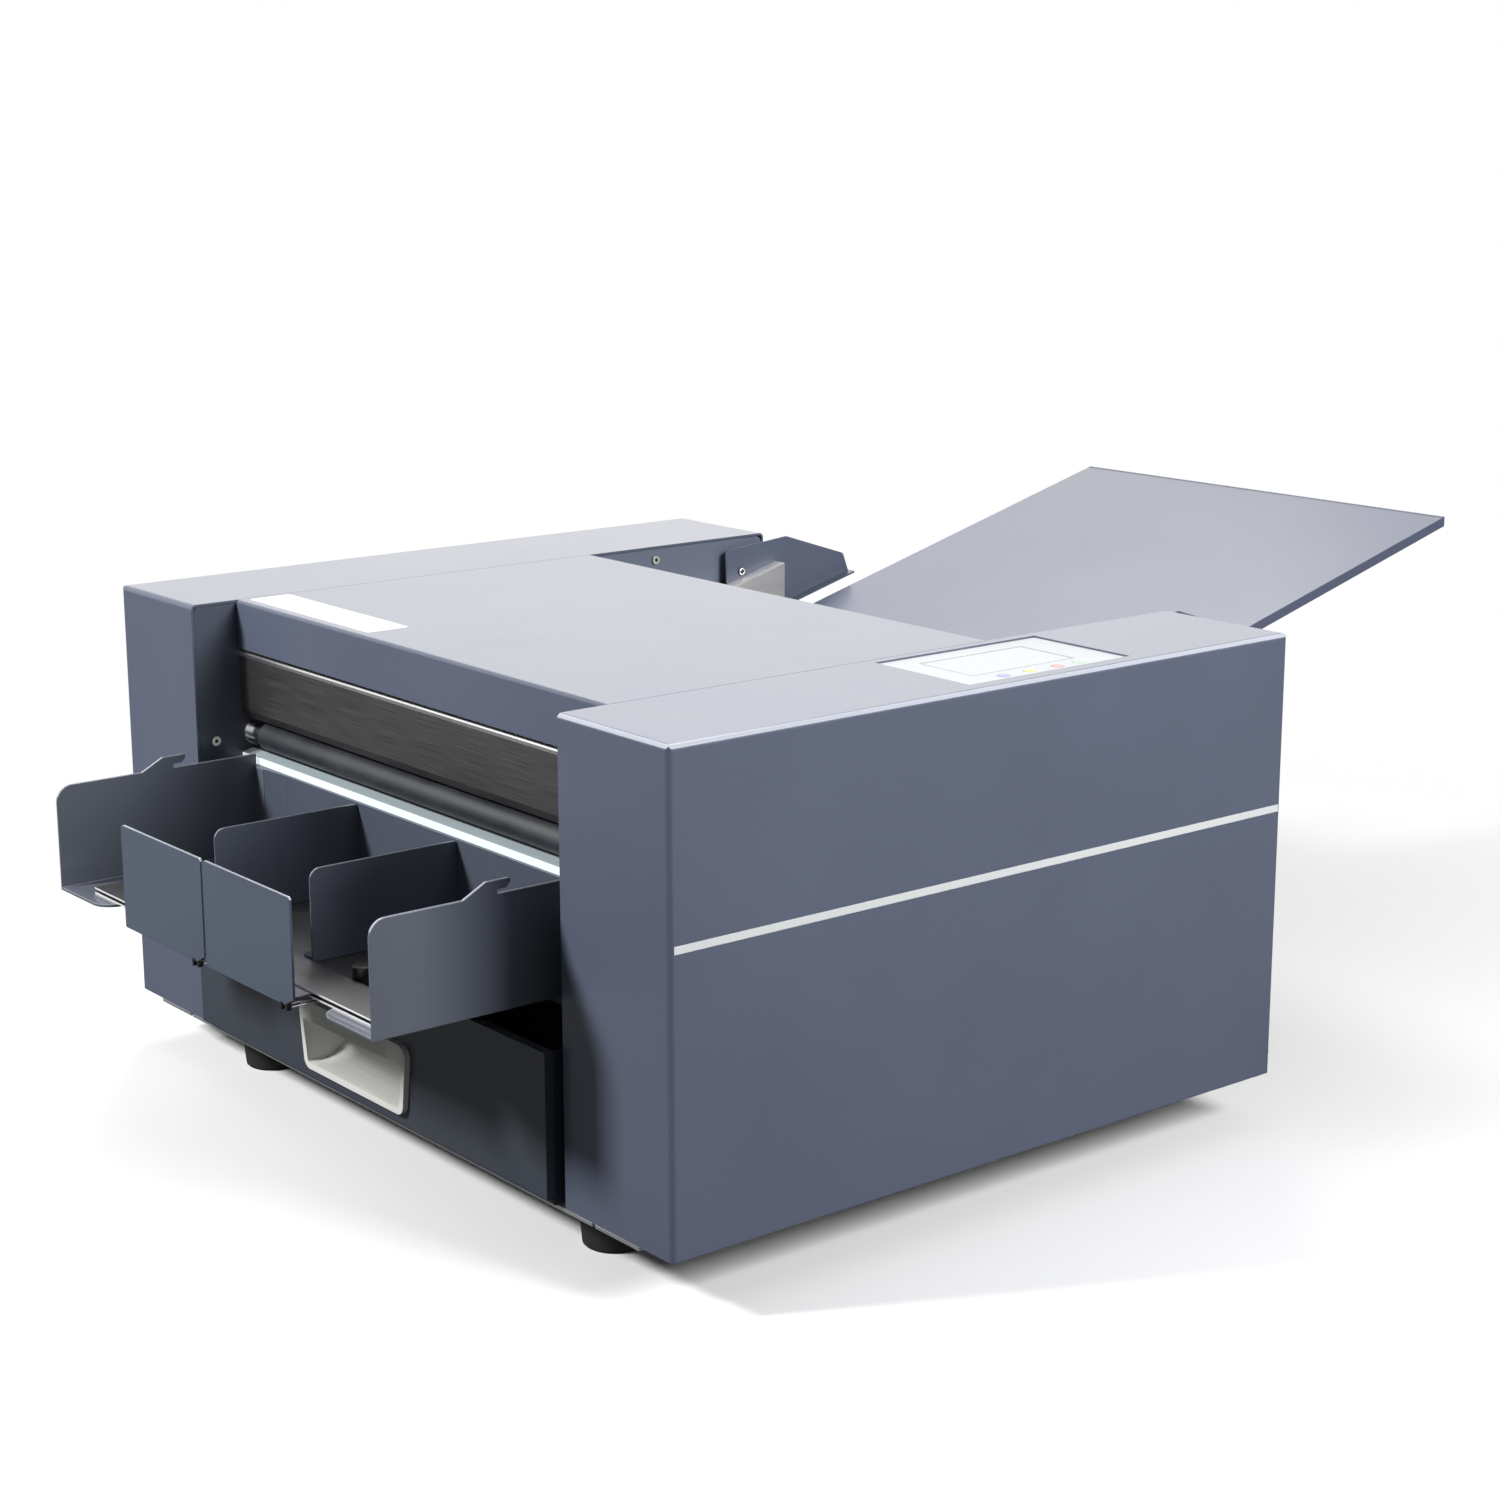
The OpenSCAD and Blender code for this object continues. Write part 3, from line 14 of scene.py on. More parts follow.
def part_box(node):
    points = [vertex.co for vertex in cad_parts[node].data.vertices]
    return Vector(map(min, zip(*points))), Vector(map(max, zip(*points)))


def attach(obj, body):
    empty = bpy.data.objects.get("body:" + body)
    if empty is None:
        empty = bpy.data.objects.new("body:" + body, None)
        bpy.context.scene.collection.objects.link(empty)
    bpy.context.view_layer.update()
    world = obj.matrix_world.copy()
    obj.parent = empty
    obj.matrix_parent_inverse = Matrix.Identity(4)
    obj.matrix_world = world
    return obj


MM = 0.001
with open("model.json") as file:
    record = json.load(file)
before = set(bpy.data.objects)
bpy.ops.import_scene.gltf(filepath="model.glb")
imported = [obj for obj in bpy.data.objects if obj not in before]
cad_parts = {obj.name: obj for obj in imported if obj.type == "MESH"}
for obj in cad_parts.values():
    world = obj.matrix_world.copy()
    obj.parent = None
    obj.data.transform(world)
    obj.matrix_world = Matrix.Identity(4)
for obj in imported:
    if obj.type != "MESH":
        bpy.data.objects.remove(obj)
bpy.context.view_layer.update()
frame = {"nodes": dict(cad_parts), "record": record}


def span(node):
    """Lowest and highest corner of a CAD node, in millimetres."""
    low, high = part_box(node)
    return Vector(low) / MM, Vector(high) / MM


# ---------------------------------------------------------------- materials

NOISE_SPAN = (0.3, 0.7)  # most of a noise lies between these values
# the cool grey of the painted highlights on edges that look up
HIGHLIGHT_GREY = (0.93, 0.97, 1.12)
HIGHLIGHT_METAL = 0.82  # how light the painted highlight on bare metal is
SCREW_STEEL = (0.6, 0.57, 0.52)
SOCKET_X = 179.4  # the case screws' sockets begin this far to each side of the middle
BEAD_H = 3.0  # the rolled bead along the top of the apron, whose lighter colour is a painted highlight
BRUSH_STRETCH = 160  # how many times longer than wide the brush lines are
SQUARE_ON = 0.7  # the least part of a face's normal along the direction that it looks to
EDGE_UP = 0.3  # the least Z of the normal of an edge that looks up
FLAT_TOP = 0.985  # above this Z of the normal a face is flat, not an edge


class Look:
    """A material made of nodes, with a Principled shader at its end.

    values go to the shader's sockets, named as they are with _ for a space.
    """

    def __init__(self, name, **values):
        self.material = bpy.data.materials.new(name)
        self.material.use_nodes = True
        self.tree = self.material.node_tree
        self.tree.nodes.clear()
        self.shader = self.add("ShaderNodeBsdfPrincipled")
        output = self.add("ShaderNodeOutputMaterial")
        self.join(self.shader.outputs["BSDF"], output.inputs["Surface"])
        self.place = self.add("ShaderNodeTexCoord").outputs["Object"]
        for key, value in values.items():
            self.shader.inputs[key.replace("_", " ")].default_value = value

    def add(self, kind, **settings):
        node = self.tree.nodes.new(kind)
        for key, value in settings.items():
            setattr(node, key, value)
        return node

    def join(self, source, target):
        self.tree.links.new(source, target)

    def feed(self, value, socket):
        """Joins an output to a socket, or sets the socket to a number."""
        if isinstance(value, (int, float)):
            socket.default_value = value
        else:
            self.join(value, socket)

    def noise(self, grain_mm, detail=2.0, stretch=(1, 1, 1), roughness=0.5):
        """Noise whose grain has the size grain_mm, drawn out by stretch."""
        mapping = self.add("ShaderNodeMapping")
        mapping.inputs["Scale"].default_value = [1 / (s * grain_mm * MM) for s in stretch]
        self.join(self.place, mapping.inputs["Vector"])
        noise = self.add("ShaderNodeTexNoise")
        noise.inputs["Scale"].default_value = 1.0
        noise.inputs["Detail"].default_value = detail
        noise.inputs["Roughness"].default_value = roughness
        self.join(mapping.outputs["Vector"], noise.inputs["Vector"])
        return noise.outputs["Fac"]

    def between(self, amount, low, high, start=0, end=1):
        """A value that goes from low to high as amount goes from start to end."""
        node = self.add("ShaderNodeMapRange")
        ends = {"From Min": start, "From Max": end, "To Min": low, "To Max": high, "Value": amount}
        for name, value in ends.items():
            self.feed(value, node.inputs[name])
        return node.outputs["Result"]

    def spread(self, noise, low, high):
        """Maps the middle of a noise to the range from low to high."""
        return self.between(noise, low, high, *NOISE_SPAN)

    def math(self, operation, *values):
        """One Math node of outputs and numbers."""
        node = self.add("ShaderNodeMath", operation=operation)
        for socket, value in zip(node.inputs, values):
            self.feed(value, socket)
        return node.outputs["Value"]

    def times(self, a, b):
        return self.math("MULTIPLY", a, b)

    def part_of(self, vector, axis):
        """The X, Y or Z of a vector output, where axis is its letter or its number."""
        split = self.add("ShaderNodeSeparateXYZ")
        self.join(vector, split.inputs["Vector"])
        return split.outputs[axis]

    def at(self, axis):
        """The X, Y or Z of a point, in metres."""
        return self.part_of(self.place, axis)

    def facing(self, axis):
        """The X, Y or Z of the true normal."""
        return self.part_of(self.add("ShaderNodeNewGeometry").outputs["True Normal"], axis)

    def rim(self, node, width_mm):
        """1 within width_mm of the outline of a CAD node, seen from above."""
        low, high = (corner * MM for corner in span(node))
        nearest = None
        for axis in (0, 1):
            for sign, edge in ((1, low[axis]), (-1, high[axis])):
                inside = self.math("MULTIPLY_ADD", self.at(axis), sign, -sign * edge)
                nearest = inside if nearest is None else self.math("MINIMUM", nearest, inside)
        return self.math("LESS_THAN", nearest, width_mm * MM)

    def tint(self, color, shade, painted_highlight=None):
        """color made lighter and darker by a value around 1, with a painted highlight added in a
        cool grey.
        """

        def scaled(base, factor):
            node = self.add("ShaderNodeVectorMath", operation="SCALE")
            node.inputs[0].default_value = base
            self.join(factor, node.inputs["Scale"])
            return node.outputs["Vector"]

        result = scaled(color, shade)
        if painted_highlight is not None:
            total = self.add("ShaderNodeVectorMath", operation="ADD")
            self.join(result, total.inputs[0])
            self.join(scaled(HIGHLIGHT_GREY, painted_highlight), total.inputs[1])
            result = total.outputs["Vector"]
        self.vary("Base Color", result)

    def vary(self, socket, value):
        self.join(value, self.shader.inputs[socket])

    def bevel(self, radius_mm, samples):
        """The normal, with the edges rounded."""
        node = self.add("ShaderNodeBevel", samples=samples)
        node.inputs["Radius"].default_value = radius_mm * MM
        return node.outputs["Normal"]

    def relief(self, round_mm, height=None, depth_mm=0):
        """Edges that are rounded by round_mm, with a bump of depth_mm over them."""
        normal = self.bevel(round_mm, samples=4)
        if height is not None:
            bump = self.add("ShaderNodeBump")
            bump.inputs["Strength"].default_value = 1.0
            bump.inputs["Distance"].default_value = depth_mm * MM
            self.join(height, bump.inputs["Height"])
            self.join(normal, bump.inputs["Normal"])
            normal = bump.outputs["Normal"]
        self.join(normal, self.shader.inputs["Normal"])


def powder_coat(name, color, roughness=0.42, gloss=0.2, edges=0, edge_mm=0.9, up_to=2, rear=1):
    """Fine-textured powder coat on folded sheet, whose smooth skin shines at grazing angles.

    edges is the grey of a painted highlight on the edges that look up, standing in for the light
    that the sheet's round
    corners catch: edge_mm is their radius, and up_to is the highest Z of the rounded normal that
    counts.
    rear makes the coat lighter behind the top cover: painted light, standing in for the light that
    falls on the frame's face there.
    """
    look = Look(name, IOR=1.3, Coat_Weight=1.0, Coat_Roughness=gloss, Coat_IOR=1.32)
    fine = look.noise(0.55, detail=3.0, roughness=0.6)
    broad = look.noise(90, detail=2.0)
    shade = look.times(look.spread(fine, 0.94, 1.06), look.spread(broad, 0.97, 1.03))
    # painted light: the coat is made lighter behind the top cover
    if rear != 1:
        behind = look.math("GREATER_THAN", look.at("Y"), span("top_cover")[1].y * MM)
        shade = look.times(shade, look.between(behind, 1, rear))
    painted_highlight = None
    if edges:
        upward = look.part_of(look.bevel(edge_mm, samples=6), "Z")
        # thin marks the edges that look up, where a painted highlight takes the place of the coat's
        # colour
        thin = look.times(look.math("GREATER_THAN", upward, EDGE_UP),
                          look.math("LESS_THAN", upward, up_to))
        shade = look.between(thin, shade, 0)
        painted_highlight = look.times(thin, edges)
    look.tint(color, shade, painted_highlight)
    look.vary("Roughness", look.spread(broad, roughness - 0.03, roughness + 0.03))
    look.relief(0.45, fine, 0.006)
    return look.material


def brushed(name, color, along, roughness, shade, grain_mm=0.25, highlight_mask=None, polish=0.3):
    """Steel sheet brushed along one axis: 0, 1 or 2 for X, Y or Z.

    bright takes the look and gives a mask, 1 where the metal gets a painted highlight that makes it
    lighter, with a roughness of polish.
    """
    look = Look(name, Metallic=1.0)
    stretch = [1, 1, 1]
    stretch[along] = BRUSH_STRETCH
    lines = look.noise(grain_mm, detail=3.0, stretch=stretch)
    clouds = look.noise(35, detail=3.0, stretch=[3 if axis == along else 1 for axis in range(3)])
    grey = look.times(look.spread(lines, 1 - shade, 1 + shade), look.spread(clouds, 0.9, 1.1))
    rough = look.spread(lines, roughness - 0.06, roughness + 0.08)
    if highlight_mask is not None:
        mask = highlight_mask(look)
        # painted highlight: the metal under the mask is made lighter
        grey = look.between(mask, grey, HIGHLIGHT_METAL / color[0])
        rough = look.between(mask, rough, polish)
    look.tint(color, grey)
    look.vary("Roughness", rough)
    look.relief(0.3, lines, 0.004)
    return look.material


def ground(name, color, roughness=0.22):
    """Ground or turned steel, with rings too fine to count around shafts that lie along X."""
    look = Look(name, Metallic=1.0)
    rings = look.noise(0.2, detail=2.0, stretch=(1, 30, 30))
    look.tint(color, look.spread(rings, 0.94, 1.06))
    look.vary("Roughness", look.spread(rings, roughness - 0.04, roughness + 0.05))
    look.relief(0.2, rings, 0.002)
    return look.material


def socket_heads():
    """The case screws, whose sockets are painted almost black as the shade behind the face of the
    heads.
    """
    look = Look("case screws", Metallic=1.0, Roughness=0.3)
    # painted shade: the sockets' floor is made almost black
    socket = look.math("GREATER_THAN", look.math("ABSOLUTE", look.at("X")), SOCKET_X * MM)
    look.tint(SCREW_STEEL, look.between(socket, 1, 0.05))
    look.relief(0.2)
    return look.material


def rubber(name, color, roughness=0.6, grain_mm=0.4):
    look = Look(name, IOR=1.5)
    grain = look.noise(grain_mm, detail=3.0)
    dust = look.noise(25, detail=4.0)
    look.tint(color, look.times(look.spread(grain, 0.9, 1.1), look.spread(dust, 0.85, 1.2)))
    look.vary("Roughness", look.spread(dust, roughness - 0.08, roughness + 0.08))
    look.relief(0.5, grain, 0.01)
    return look.material


def moulded(name, color, roughness=0.4, depth_mm=0.006):
    """Moulded plastic with a fine spark-eroded grain."""
    look = Look(name, IOR=1.46)
    grain = look.noise(0.35, detail=2.0)
    broad = look.noise(60)
    look.tint(color, look.spread(broad, 0.98, 1.02))
    look.vary("Roughness", look.spread(grain, roughness - 0.05, roughness + 0.05))
    look.relief(0.4, grain, depth_mm)
    return look.material


def bead_highlight(look):
    """The rolled bead along the top of the apron: its lower roughness is its polish, its lighter
    colour a painted highlight.
    """
    top = span("exit_apron")[1].z
    return look.math("GREATER_THAN", look.at("Z"), (top - BEAD_H) * MM)


def front_face(look):
    """What looks to the front, such as the front edge of a sheet, where the tray steel gets a
    painted highlight.
    """
    return look.math("LESS_THAN", look.facing("Y"), -SQUARE_ON)


def top_face(look):
    return look.math("GREATER_THAN", look.facing("Z"), SQUARE_ON)


def diffuser():
    """The light bar: milky plastic that glows a little on top and strongly at its front edge."""
    look = Look("light bar", Roughness=0.35, IOR=1.49, Emission_Color=(0.9, 0.95, 1.0, 1))
    streaks = look.noise(3, stretch=(20, 1, 1))
    look.tint((0.29, 0.35, 0.37), look.spread(streaks, 0.95, 1.05))
    look.vary("Emission Strength", look.between(front_face(look), 0.06, 0.72))
    look.relief(0.5)
    return look.material


def screen():
    """A grey liquid crystal display behind clear plastic, with a dark rim."""
    look = Look("display", IOR=1.45)
    cells = look.noise(0.5, detail=1.0)
    rim = look.rim("display_window", 0.7)
    look.tint((0.5, 0.53, 0.54), look.times(look.spread(cells, 0.97, 1.03),
                                            look.between(rim, 1, 0.2)))
    look.vary("Roughness", look.spread(cells, 0.25, 0.35))
    look.relief(0.2, cells, 0.002)
    return look.material


COVER = (0.092, 0.107, 0.154)
TRAY = (0.084, 0.096, 0.148)
LOOKS = {
    "cover_paint": powder_coat("cover paint", COVER),
    # the cover paint with a painted highlight along the right cover's edges that look up
    "right_cover_highlight_paint": powder_coat("right cover paint", COVER,
                                     edges=0.46, edge_mm=0.35, up_to=0.95),
    # the inner paint is painted lighter behind the top cover, as light falling there
    "inner_paint": powder_coat("inner paint", (0.07, 0.08, 0.108), 0.45, 0.25, rear=1.9),
    "bin_paint": powder_coat("bin paint", (0.04, 0.047, 0.062), 0.45, 0.25),
    "tray_paint": powder_coat("tray paint", TRAY),
    # the plates and end plates carry painted highlights on their edges that look up
    "plate_paint": powder_coat("plate paint", (0.083, 0.094, 0.124), edges=0.22, up_to=FLAT_TOP),
    "end_plate_paint": powder_coat("end plate paint", (0.1, 0.112, 0.142),
                                   edges=0.38, up_to=FLAT_TOP),
    "case_screws": socket_heads(),
    # the stops carry a painted highlight on their edges and faces that look up
    "stop_paint": powder_coat("stop paint", (0.069, 0.085, 0.12), edges=0.38),
    "table_paint": powder_coat("table paint", TRAY),
    "base_steel": brushed("zinc plated base", (0.62, 0.63, 0.64), 0, 0.42, 0.06, 0.6),
    "apron_steel": brushed("brushed apron", (0.17, 0.168, 0.169), 0, 0.4, 0.2,
                           highlight_mask=bead_highlight),
    # the tray steel's front edges get a painted highlight
    "tray_steel": brushed("tray steel", (0.2, 0.2, 0.2), 0, 0.36, 0.3,
                          highlight_mask=front_face, polish=0.6),
    # the tops of the stainless liner get a painted highlight
    "liner_steel": brushed("stainless liner", (0.52, 0.51, 0.49), 1, 0.36, 0.04, 0.5,
                           highlight_mask=top_face, polish=0.5),
    "bright_steel": ground("ground steel", (0.72, 0.72, 0.73)),
    "blade_steel": ground("tool steel", (0.56, 0.57, 0.59), 0.18),
    "foot_rubber": rubber("foot rubber", (0.014, 0.014, 0.015)),
    "roller_rubber": rubber("roller rubber", (0.018, 0.02, 0.025), 0.48, 0.2),
    "belt_rubber": rubber("belt rubber", (0.014, 0.014, 0.014)),
    "motor_black": powder_coat("black paint", (0.016, 0.016, 0.018), 0.4, 0.3),
    "bracket_metal": brushed("plain bracket", (0.5, 0.5, 0.5), 1, 0.4, 0.06),
    "socket_plastic": moulded("socket plastic", (0.014, 0.014, 0.014)),
    "panel_plastic": moulded("panel plastic", (0.5, 0.52, 0.54), 0.45),
    "cup_plastic": moulded("cup plastic", (0.74, 0.74, 0.71), 0.3),
    "key_blue": moulded("blue key", (0.3, 0.33, 0.78), 0.25),
    "key_yellow": moulded("yellow key", (0.86, 0.72, 0.22), 0.25),
    "key_red": moulded("red key", (0.8, 0.3, 0.28), 0.25),
    "key_green": moulded("green key", (0.42, 0.72, 0.42), 0.25),
    "rocker_red": moulded("switch rocker", (0.3, 0.02, 0.018), 0.25),
    "light_bar": diffuser(),
    "screen_glass": screen(),
}

# CAD nodes whose look isn't that of their material slot
OWN_LOOKS = {
    "paper_table": "table_paint",
    "right_side_cover": "right_cover_highlight_paint",
    "case_screws": "case_screws",
    "left_end_plate": "end_plate_paint",
    "right_end_plate": "end_plate_paint",
    "divider_left": "plate_paint",
    "divider_right": "plate_paint",
    "front_stop_left": "stop_paint",
    "front_stop_right": "stop_paint",
}

slot_of = {part["node"]: part["material_slot"] for part in frame["record"]["subparts"]}
for node_name, node_object in frame["nodes"].items():
    slots = node_object.data.materials
    slots.clear()
    slots.append(LOOKS[OWN_LOOKS.get(node_name, slot_of[node_name])])


# ------------------------------------------------------------------ pieces


def piece(mesh, body, slot, look=None):
    """Puts a finished mesh in the scene under its own name, on its body.

    It has the look of its slot unless look is given.
    """
    thing = bpy.data.objects.new(mesh.name, mesh)
    bpy.context.collection.objects.link(thing)
    mesh.materials.append(look or LOOKS[slot])
    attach(thing, body)


def rounded(width, height, radius, steps=6):
    """The corners of a rectangle about the origin, with round corners."""
    points = []
    for quarter, (sx, sy) in enumerate([(1, 1), (-1, 1), (-1, -1), (1, -1)]):
        for step in range(steps + 1):
            angle = math.radians(90 * (quarter + step / steps))
            points.append((sx * (width / 2 - radius) + radius * math.cos(angle),
                           sy * (height / 2 - radius) + radius * math.sin(angle)))
    return points


def solid(name, rings, matrix):
    """A closed mesh through rings of points, in millimetres in the space of matrix."""
    mesh = bpy.data.meshes.new(name)
    bm = bmesh.new()
    loops = [[bm.verts.new(point) for point in ring] for ring in rings]
    for lower, upper in zip(loops, loops[1:]):
        for i in range(len(lower)):
            j = (i + 1) % len(lower)
            bm.faces.new((lower[i], lower[j], upper[j], upper[i]))
    bm.faces.new(list(reversed(loops[0])))
    bm.faces.new(loops[-1])
    bmesh.ops.transform(bm, matrix=Matrix.Scale(MM, 4) @ matrix, verts=bm.verts)
    bm.to_mesh(mesh)
    bm.free()
    return mesh


def slab(name, outline, thickness, matrix):
    """A flat plate with that outline. It grows along +Z of matrix."""
    return solid(name, [[(x, y, z) for x, y in outline] for z in (0, thickness)], matrix)


def turned(name, profile, matrix, sides=40):
    """A solid of revolution about Z of matrix, from (radius, height) points."""
    angles = [2 * math.pi * k / sides for k in range(sides)]
    rings = [[(radius * math.cos(a), radius * math.sin(a), height) for a in angles]
             for radius, height in profile]
    mesh = solid(name, rings, matrix)
    for face in mesh.polygons:
        face.use_smooth = len(face.vertices) == 4
    return mesh


def move(x, y, z):
    return Matrix.Translation((x, y, z))


def turn(degrees, axis):
    return Matrix.Rotation(math.radians(degrees), 4, axis)


def middle(a, b):
    return (a + b) / 2


white_film = moulded("white film", (0.62, 0.64, 0.65), 0.4, 0.002)
label_film = moulded("label film", (0.8, 0.8, 0.79), 0.35, 0.002)
black_plastic = moulded("black plastic", (0.012, 0.012, 0.013), 0.35)
FILM = 0.12

# Turns an outline in X and Y into one in Y and Z that grows along X
SIDEWAYS = Matrix(((0, 0, 1, 0), (1, 0, 0, 0), (0, 1, 0, 0), (0, 0, 0, 1)))

cover_low, cover_high = span("right_side_cover")
top_low, top_high = span("top_cover")
plate_low = span("left_end_plate")[0]
wall_low, wall_high = span("catch_back_wall")


def side_stripe():
    """The white line along the right cover's outer side."""
    line_z, line_h, end = 181.4, 4.0, 2.5
    outline = rounded(cover_high.y - cover_low.y - 2 * end, line_h, 0.4)
    at = move(cover_high.x, middle(cover_low.y, cover_high.y), line_z) @ SIDEWAYS
    piece(slab("side_stripe", outline, FILM, at), "cabinet", "panel_plastic", white_film)


def cover_label():
    """The bare white label at the left of the top cover."""
    width, depth, corner = 130, 26, 2.5
    from_left, from_front = 3.2, 6.5
    at = move(top_low.x + from_left + width / 2, top_low.y + from_front + depth / 2, top_high.z)
    piece(slab("cover_label", rounded(width, depth, corner), FILM, at),
          "cover", "panel_plastic", label_film)


def seam_shade_strip():
    """A dark strip in the gap between the left cover and the top cover, standing in for the shade
    in the gap.
    """
    width, height, sunk, end = 0.4, 0.55, 0.6, 1
    outline = rounded(width, top_high.y - top_low.y - 2 * end, 0.1, 2)
    at = move(middle(span("left_side_cover")[1].x, top_low.x), middle(top_low.y, top_high.y),
              top_high.z - sunk)
    piece(slab("seam_shade_strip", outline, height, at), "cabinet", "foot_rubber")


def wall_filler():
    """The filler that runs from the left end plate's flange out to the wall behind it."""
    in_wall, below_top, thin = 0.1, 0.1, 0.03
    left = plate_low.x + 1
    foot = plate_low.z + 4
    flange_y = wall_low.y - 1.3
    flange_end = plate_low.x + 12
    run_out = flange_end + 24
    outline = [(left, flange_y), (flange_end + 0.5, flange_y), (run_out, wall_low.y - thin),
               (run_out, wall_low.y + in_wall), (left, wall_low.y + in_wall)]
    piece(slab("wall_filler", outline, wall_high.z - below_top - foot, move(0, 0, foot)),
          "cabinet", "cover_paint", LOOKS["inner_paint"])


def bar_shade_strip():
    """A dark strip behind the light bar, standing in for the shade between the bar and the roller.
    """
    width, height, inset, sunk = 2.2, 0.45, 0.5, 0.1
    low, high = span("exit_light_bar")
    outline = rounded(high.x - low.x - 2 * inset, width, 0.2, 2)
    at = move(0, high.y - width / 2, high.z - sunk)
    piece(slab("bar_shade_strip", outline, height, at), "cabinet", "foot_rubber")


def divider_tail(side):
    """The rear end of a divider, which reaches almost to the wall behind it."""
    sheet, skin, overlap, wall_gap, cut = 1.2, 0.02, 4, 0.2, 0.8
    low, high = span("divider_" + side)
    front, back, foot, top = high.y - overlap, wall_low.y - wall_gap, low.z + 0.2, high.z - 0.05
    outline = [(front, foot), (back, foot), (back, top - cut), (back - cut, top), (front, top)]
    at = move(high.x - sheet + skin, 0, 0) @ SIDEWAYS
    piece(slab(f"divider_{side}_tail", outline, sheet - 2 * skin, at),
          "divider_" + side, "cover_paint", LOOKS["plate_paint"])


def guide_screw():
    """The steel head of the screw that holds the left guide, with a black sleeve in its socket as
    painted shade.
    """
    head_r, head_h, socket_r, socket_floor = 2.4, 1.6, 1.3, 0.6
    before_rod, below_cover = 3, 22
    rod_low, rod_high = span("guide_rod")
    at = move(span("left_guide_liner")[0].x, middle(rod_low.y, rod_high.y) - before_rod,
              cover_high.z - below_cover) @ turn(90, "Y")
    head = [(head_r, 0), (head_r, head_h - 0.4), (head_r - 0.4, head_h),
            (socket_r, head_h), (socket_r, socket_floor)]
    socket = [(socket_r, socket_floor + 0.05), (socket_r, head_h + 0.06)]
    piece(turned("guide_screw", head, at), "cabinet", "bright_steel")
    # a black sleeve stands in for the shade in the socket
    piece(turned("guide_screw_socket_shade", socket, at), "cabinet", "foot_rubber")


def lane_magnet():
    """A round magnet on the steel floor of the right lane."""
    from_middle, from_front = 90, 31
    low, high = span("lane_floor")
    profile = [(5.2, 0), (5.6, 0.4), (5.6, 8.2), (5.3, 8.7), (4.6, 9.0)]
    at = move(from_middle, low.y + from_front, high.z)
    piece(turned("lane_magnet", profile, at), "cabinet", "socket_plastic", black_plastic)


def stop_clips(side):
    """Under a front stop, at its cut corner: two small clips with a steel wire on each.

    The wires run back below the lane floor.
    """
    width, height, depth = 2.0, 4.0, 2.4
    before_stop, below_stop, step_up = 0.6, 2.8, 0.4
    wire_r, wire_l, tip = 0.65, 19, 0.4
    wire_start, wire_gap = 1.5, 0.3
    body = "front_stop_" + side
    low, high = span(body)
    for number, reach in enumerate((11.5, 6.2)):
        x = high.x - reach
        at = move(x, low.y - before_stop, low.z - below_stop + step_up * number + height / 2)
        at @= turn(90, "X") @ move(0, 0, -depth)
        piece(slab(f"stop_clip_{side}_{number + 1}", rounded(width, height, 0.7, 4), depth, at),
              body, "socket_plastic", black_plastic)
        at = move(x, low.y + wire_start, low.z - wire_gap - wire_r) @ turn(-90, "X")
        wire = [(wire_r, 0), (wire_r, wire_l - tip), (wire_r - 0.3, wire_l)]
        piece(turned(f"stop_wire_{side}_{number + 1}", wire, at, 16), body, "bright_steel")


side_stripe()
cover_label()
seam_shade_strip()
wall_filler()
bar_shade_strip()
for side in ("left", "right"):
    divider_tail(side)
guide_screw()
lane_magnet()
for side in ("left", "right"):
    stop_clips(side)


# -------------------------------------------------------------- the studio


FLOOR_SEEN = 0.92
FLOOR_BOUNCE = 0.05
FLOOR_HALF = 12.0
FADE_START, FADE_END = 0.4, 0.95
AMBIENT = 0.07

# name, place, target, width and depth, watts; lengths in metres
LAMPS = [
    ("overhead", (0.1, 0.2, 2.5), (0, 0, 0.1), (2.2, 2.2), 4.9),
    ("key", (-0.536, -1.644, 1.208), (0.1, -0.3, 0.17), (0.27, 0.27), 45),
    ("side_fill", (1.48, 0.22, 0.98), (0.25, -0.1, 0.17), (0.6, 0.6), 31),
    ("back_fill", (-1.6, 1.2, 2.3), (0, 0, 0.15), (1.0, 1.0), 28),
    ("rear_panel_light", (-2.4, 1.9, 1.05), (0, 0, 0.28), (4.2, 1.9), 8),
]


def stage_floor():
    """A pale floor that fades into the white background away from the machine.

    It gives less light back to the machine than it shows to the camera.
    """
    mesh = bpy.data.meshes.new("floor")
    corners = [(x * FLOOR_HALF, y * FLOOR_HALF, 0) for x, y in ((-1, -1), (1, -1), (1, 1), (-1, 1))]
    mesh.from_pydata(corners, [], [(0, 1, 2, 3)])
    floor = bpy.data.objects.new("floor", mesh)
    bpy.context.collection.objects.link(floor)
    look = Look("floor", Roughness=0.9)
    seen = look.add("ShaderNodeLightPath").outputs["Is Camera Ray"]
    look.vary("Base Color", look.between(seen, FLOOR_BOUNCE, FLOOR_SEEN))
    glow = look.add("ShaderNodeEmission")
    length = look.add("ShaderNodeVectorMath", operation="LENGTH")
    look.join(look.place, length.inputs[0])
    fade = look.between(length.outputs["Value"], 0, 1, FADE_START, FADE_END)
    fade.node.interpolation_type = "SMOOTHSTEP"
    blend = look.add("ShaderNodeMixShader")
    look.join(look.times(fade, seen), blend.inputs["Fac"])
    look.join(look.shader.outputs["BSDF"], blend.inputs[1])
    look.join(glow.outputs["Emission"], blend.inputs[2])
    output = next(n for n in look.tree.nodes if n.type == "OUTPUT_MATERIAL")
    look.join(blend.outputs["Shader"], output.inputs["Surface"])
    mesh.materials.append(look.material)


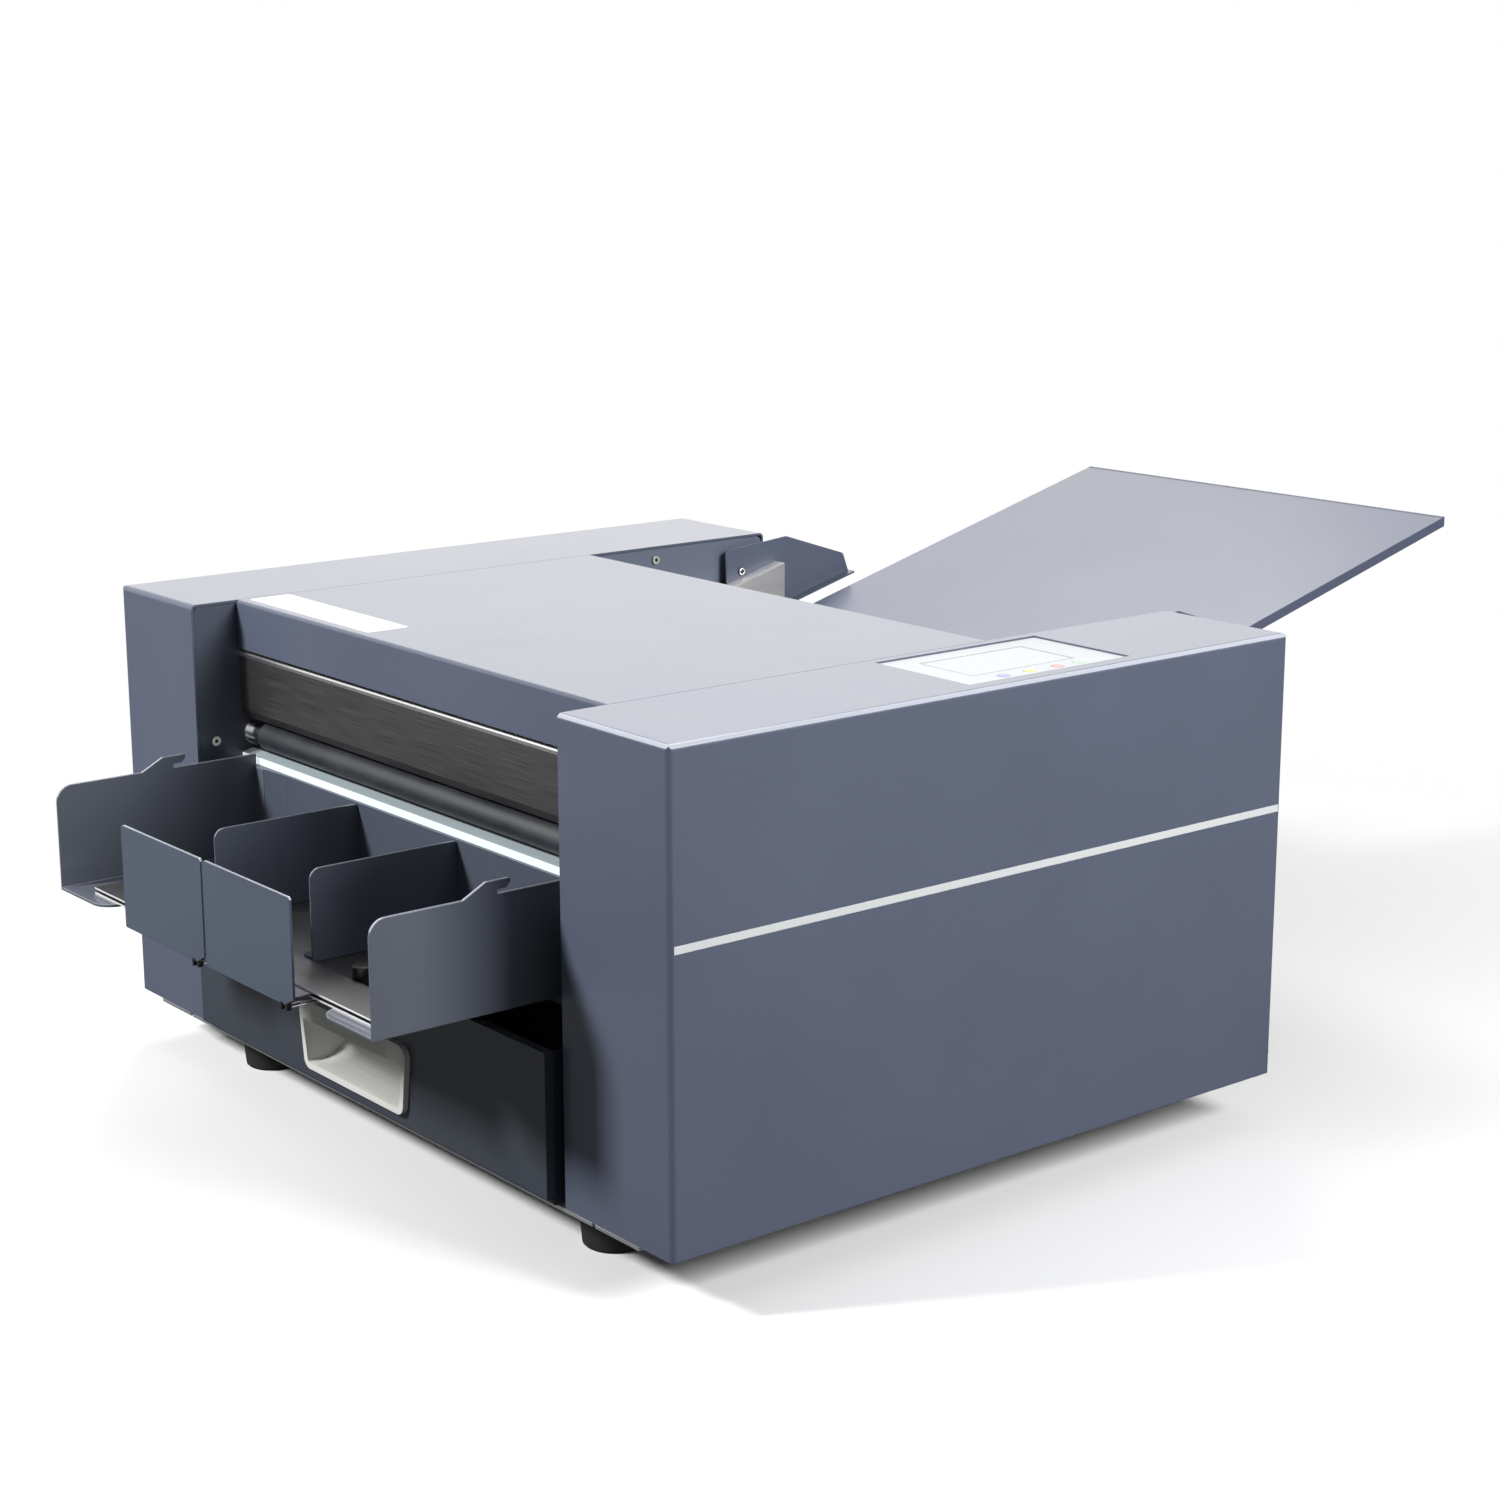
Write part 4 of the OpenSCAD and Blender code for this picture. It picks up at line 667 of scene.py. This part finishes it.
def white_world():
    """White to the camera and in reflections, and plain ambient light elsewhere."""
    world = bpy.data.worlds.new("studio")
    bpy.context.scene.world = world
    world.use_nodes = True
    tree = world.node_tree
    tree.nodes.clear()
    path = tree.nodes.new("ShaderNodeLightPath")
    total = path.outputs["Is Camera Ray"]
    for name in ("Is Glossy Ray", "Is Transmission Ray"):
        add = tree.nodes.new("ShaderNodeMath")
        add.operation = "MAXIMUM"
        tree.links.new(total, add.inputs[0])
        tree.links.new(path.outputs[name], add.inputs[1])
        total = add.outputs["Value"]
    strength = tree.nodes.new("ShaderNodeMapRange")
    strength.inputs["To Min"].default_value = AMBIENT
    strength.inputs["To Max"].default_value = 1.0
    tree.links.new(total, strength.inputs["Value"])
    back = tree.nodes.new("ShaderNodeBackground")
    back.inputs["Color"].default_value = (1, 1, 1, 1)
    tree.links.new(strength.outputs["Result"], back.inputs["Strength"])
    output = tree.nodes.new("ShaderNodeOutputWorld")
    tree.links.new(back.outputs["Background"], output.inputs["Surface"])


def aimed(place, target):
    """The rotation of a lamp or camera at place that looks at target."""
    return (Vector(target) - Vector(place)).to_track_quat("-Z", "Y")


def softbox(name, place, target, size, watts):
    lamp = bpy.data.lights.new(name, "AREA")
    lamp.shape = "RECTANGLE"
    lamp.size, lamp.size_y = size
    lamp.energy = watts
    thing = bpy.data.objects.new(name, lamp)
    bpy.context.collection.objects.link(thing)
    thing.location = place
    thing.rotation_euler = aimed(place, target).to_euler()
    thing.visible_camera = False


def shoot_from(place, target, lens, roll):
    camera = bpy.data.cameras.new("camera")
    camera.lens = lens
    camera.sensor_width = 36
    camera.clip_end = 50
    thing = bpy.data.objects.new("camera", camera)
    bpy.context.collection.objects.link(thing)
    thing.matrix_world = move(*place) @ aimed(place, target).to_matrix().to_4x4() @ turn(roll, "Z")
    bpy.context.scene.camera = thing


stage_floor()
white_world()
for lamp_settings in LAMPS:
    softbox(*lamp_settings)
shoot_from((1.2396, -1.0313, 0.5645), (0.2231, -0.2157, 0.2555), lens=67.6, roll=-0.11)

bpy.context.scene.view_settings.view_transform = "Standard"
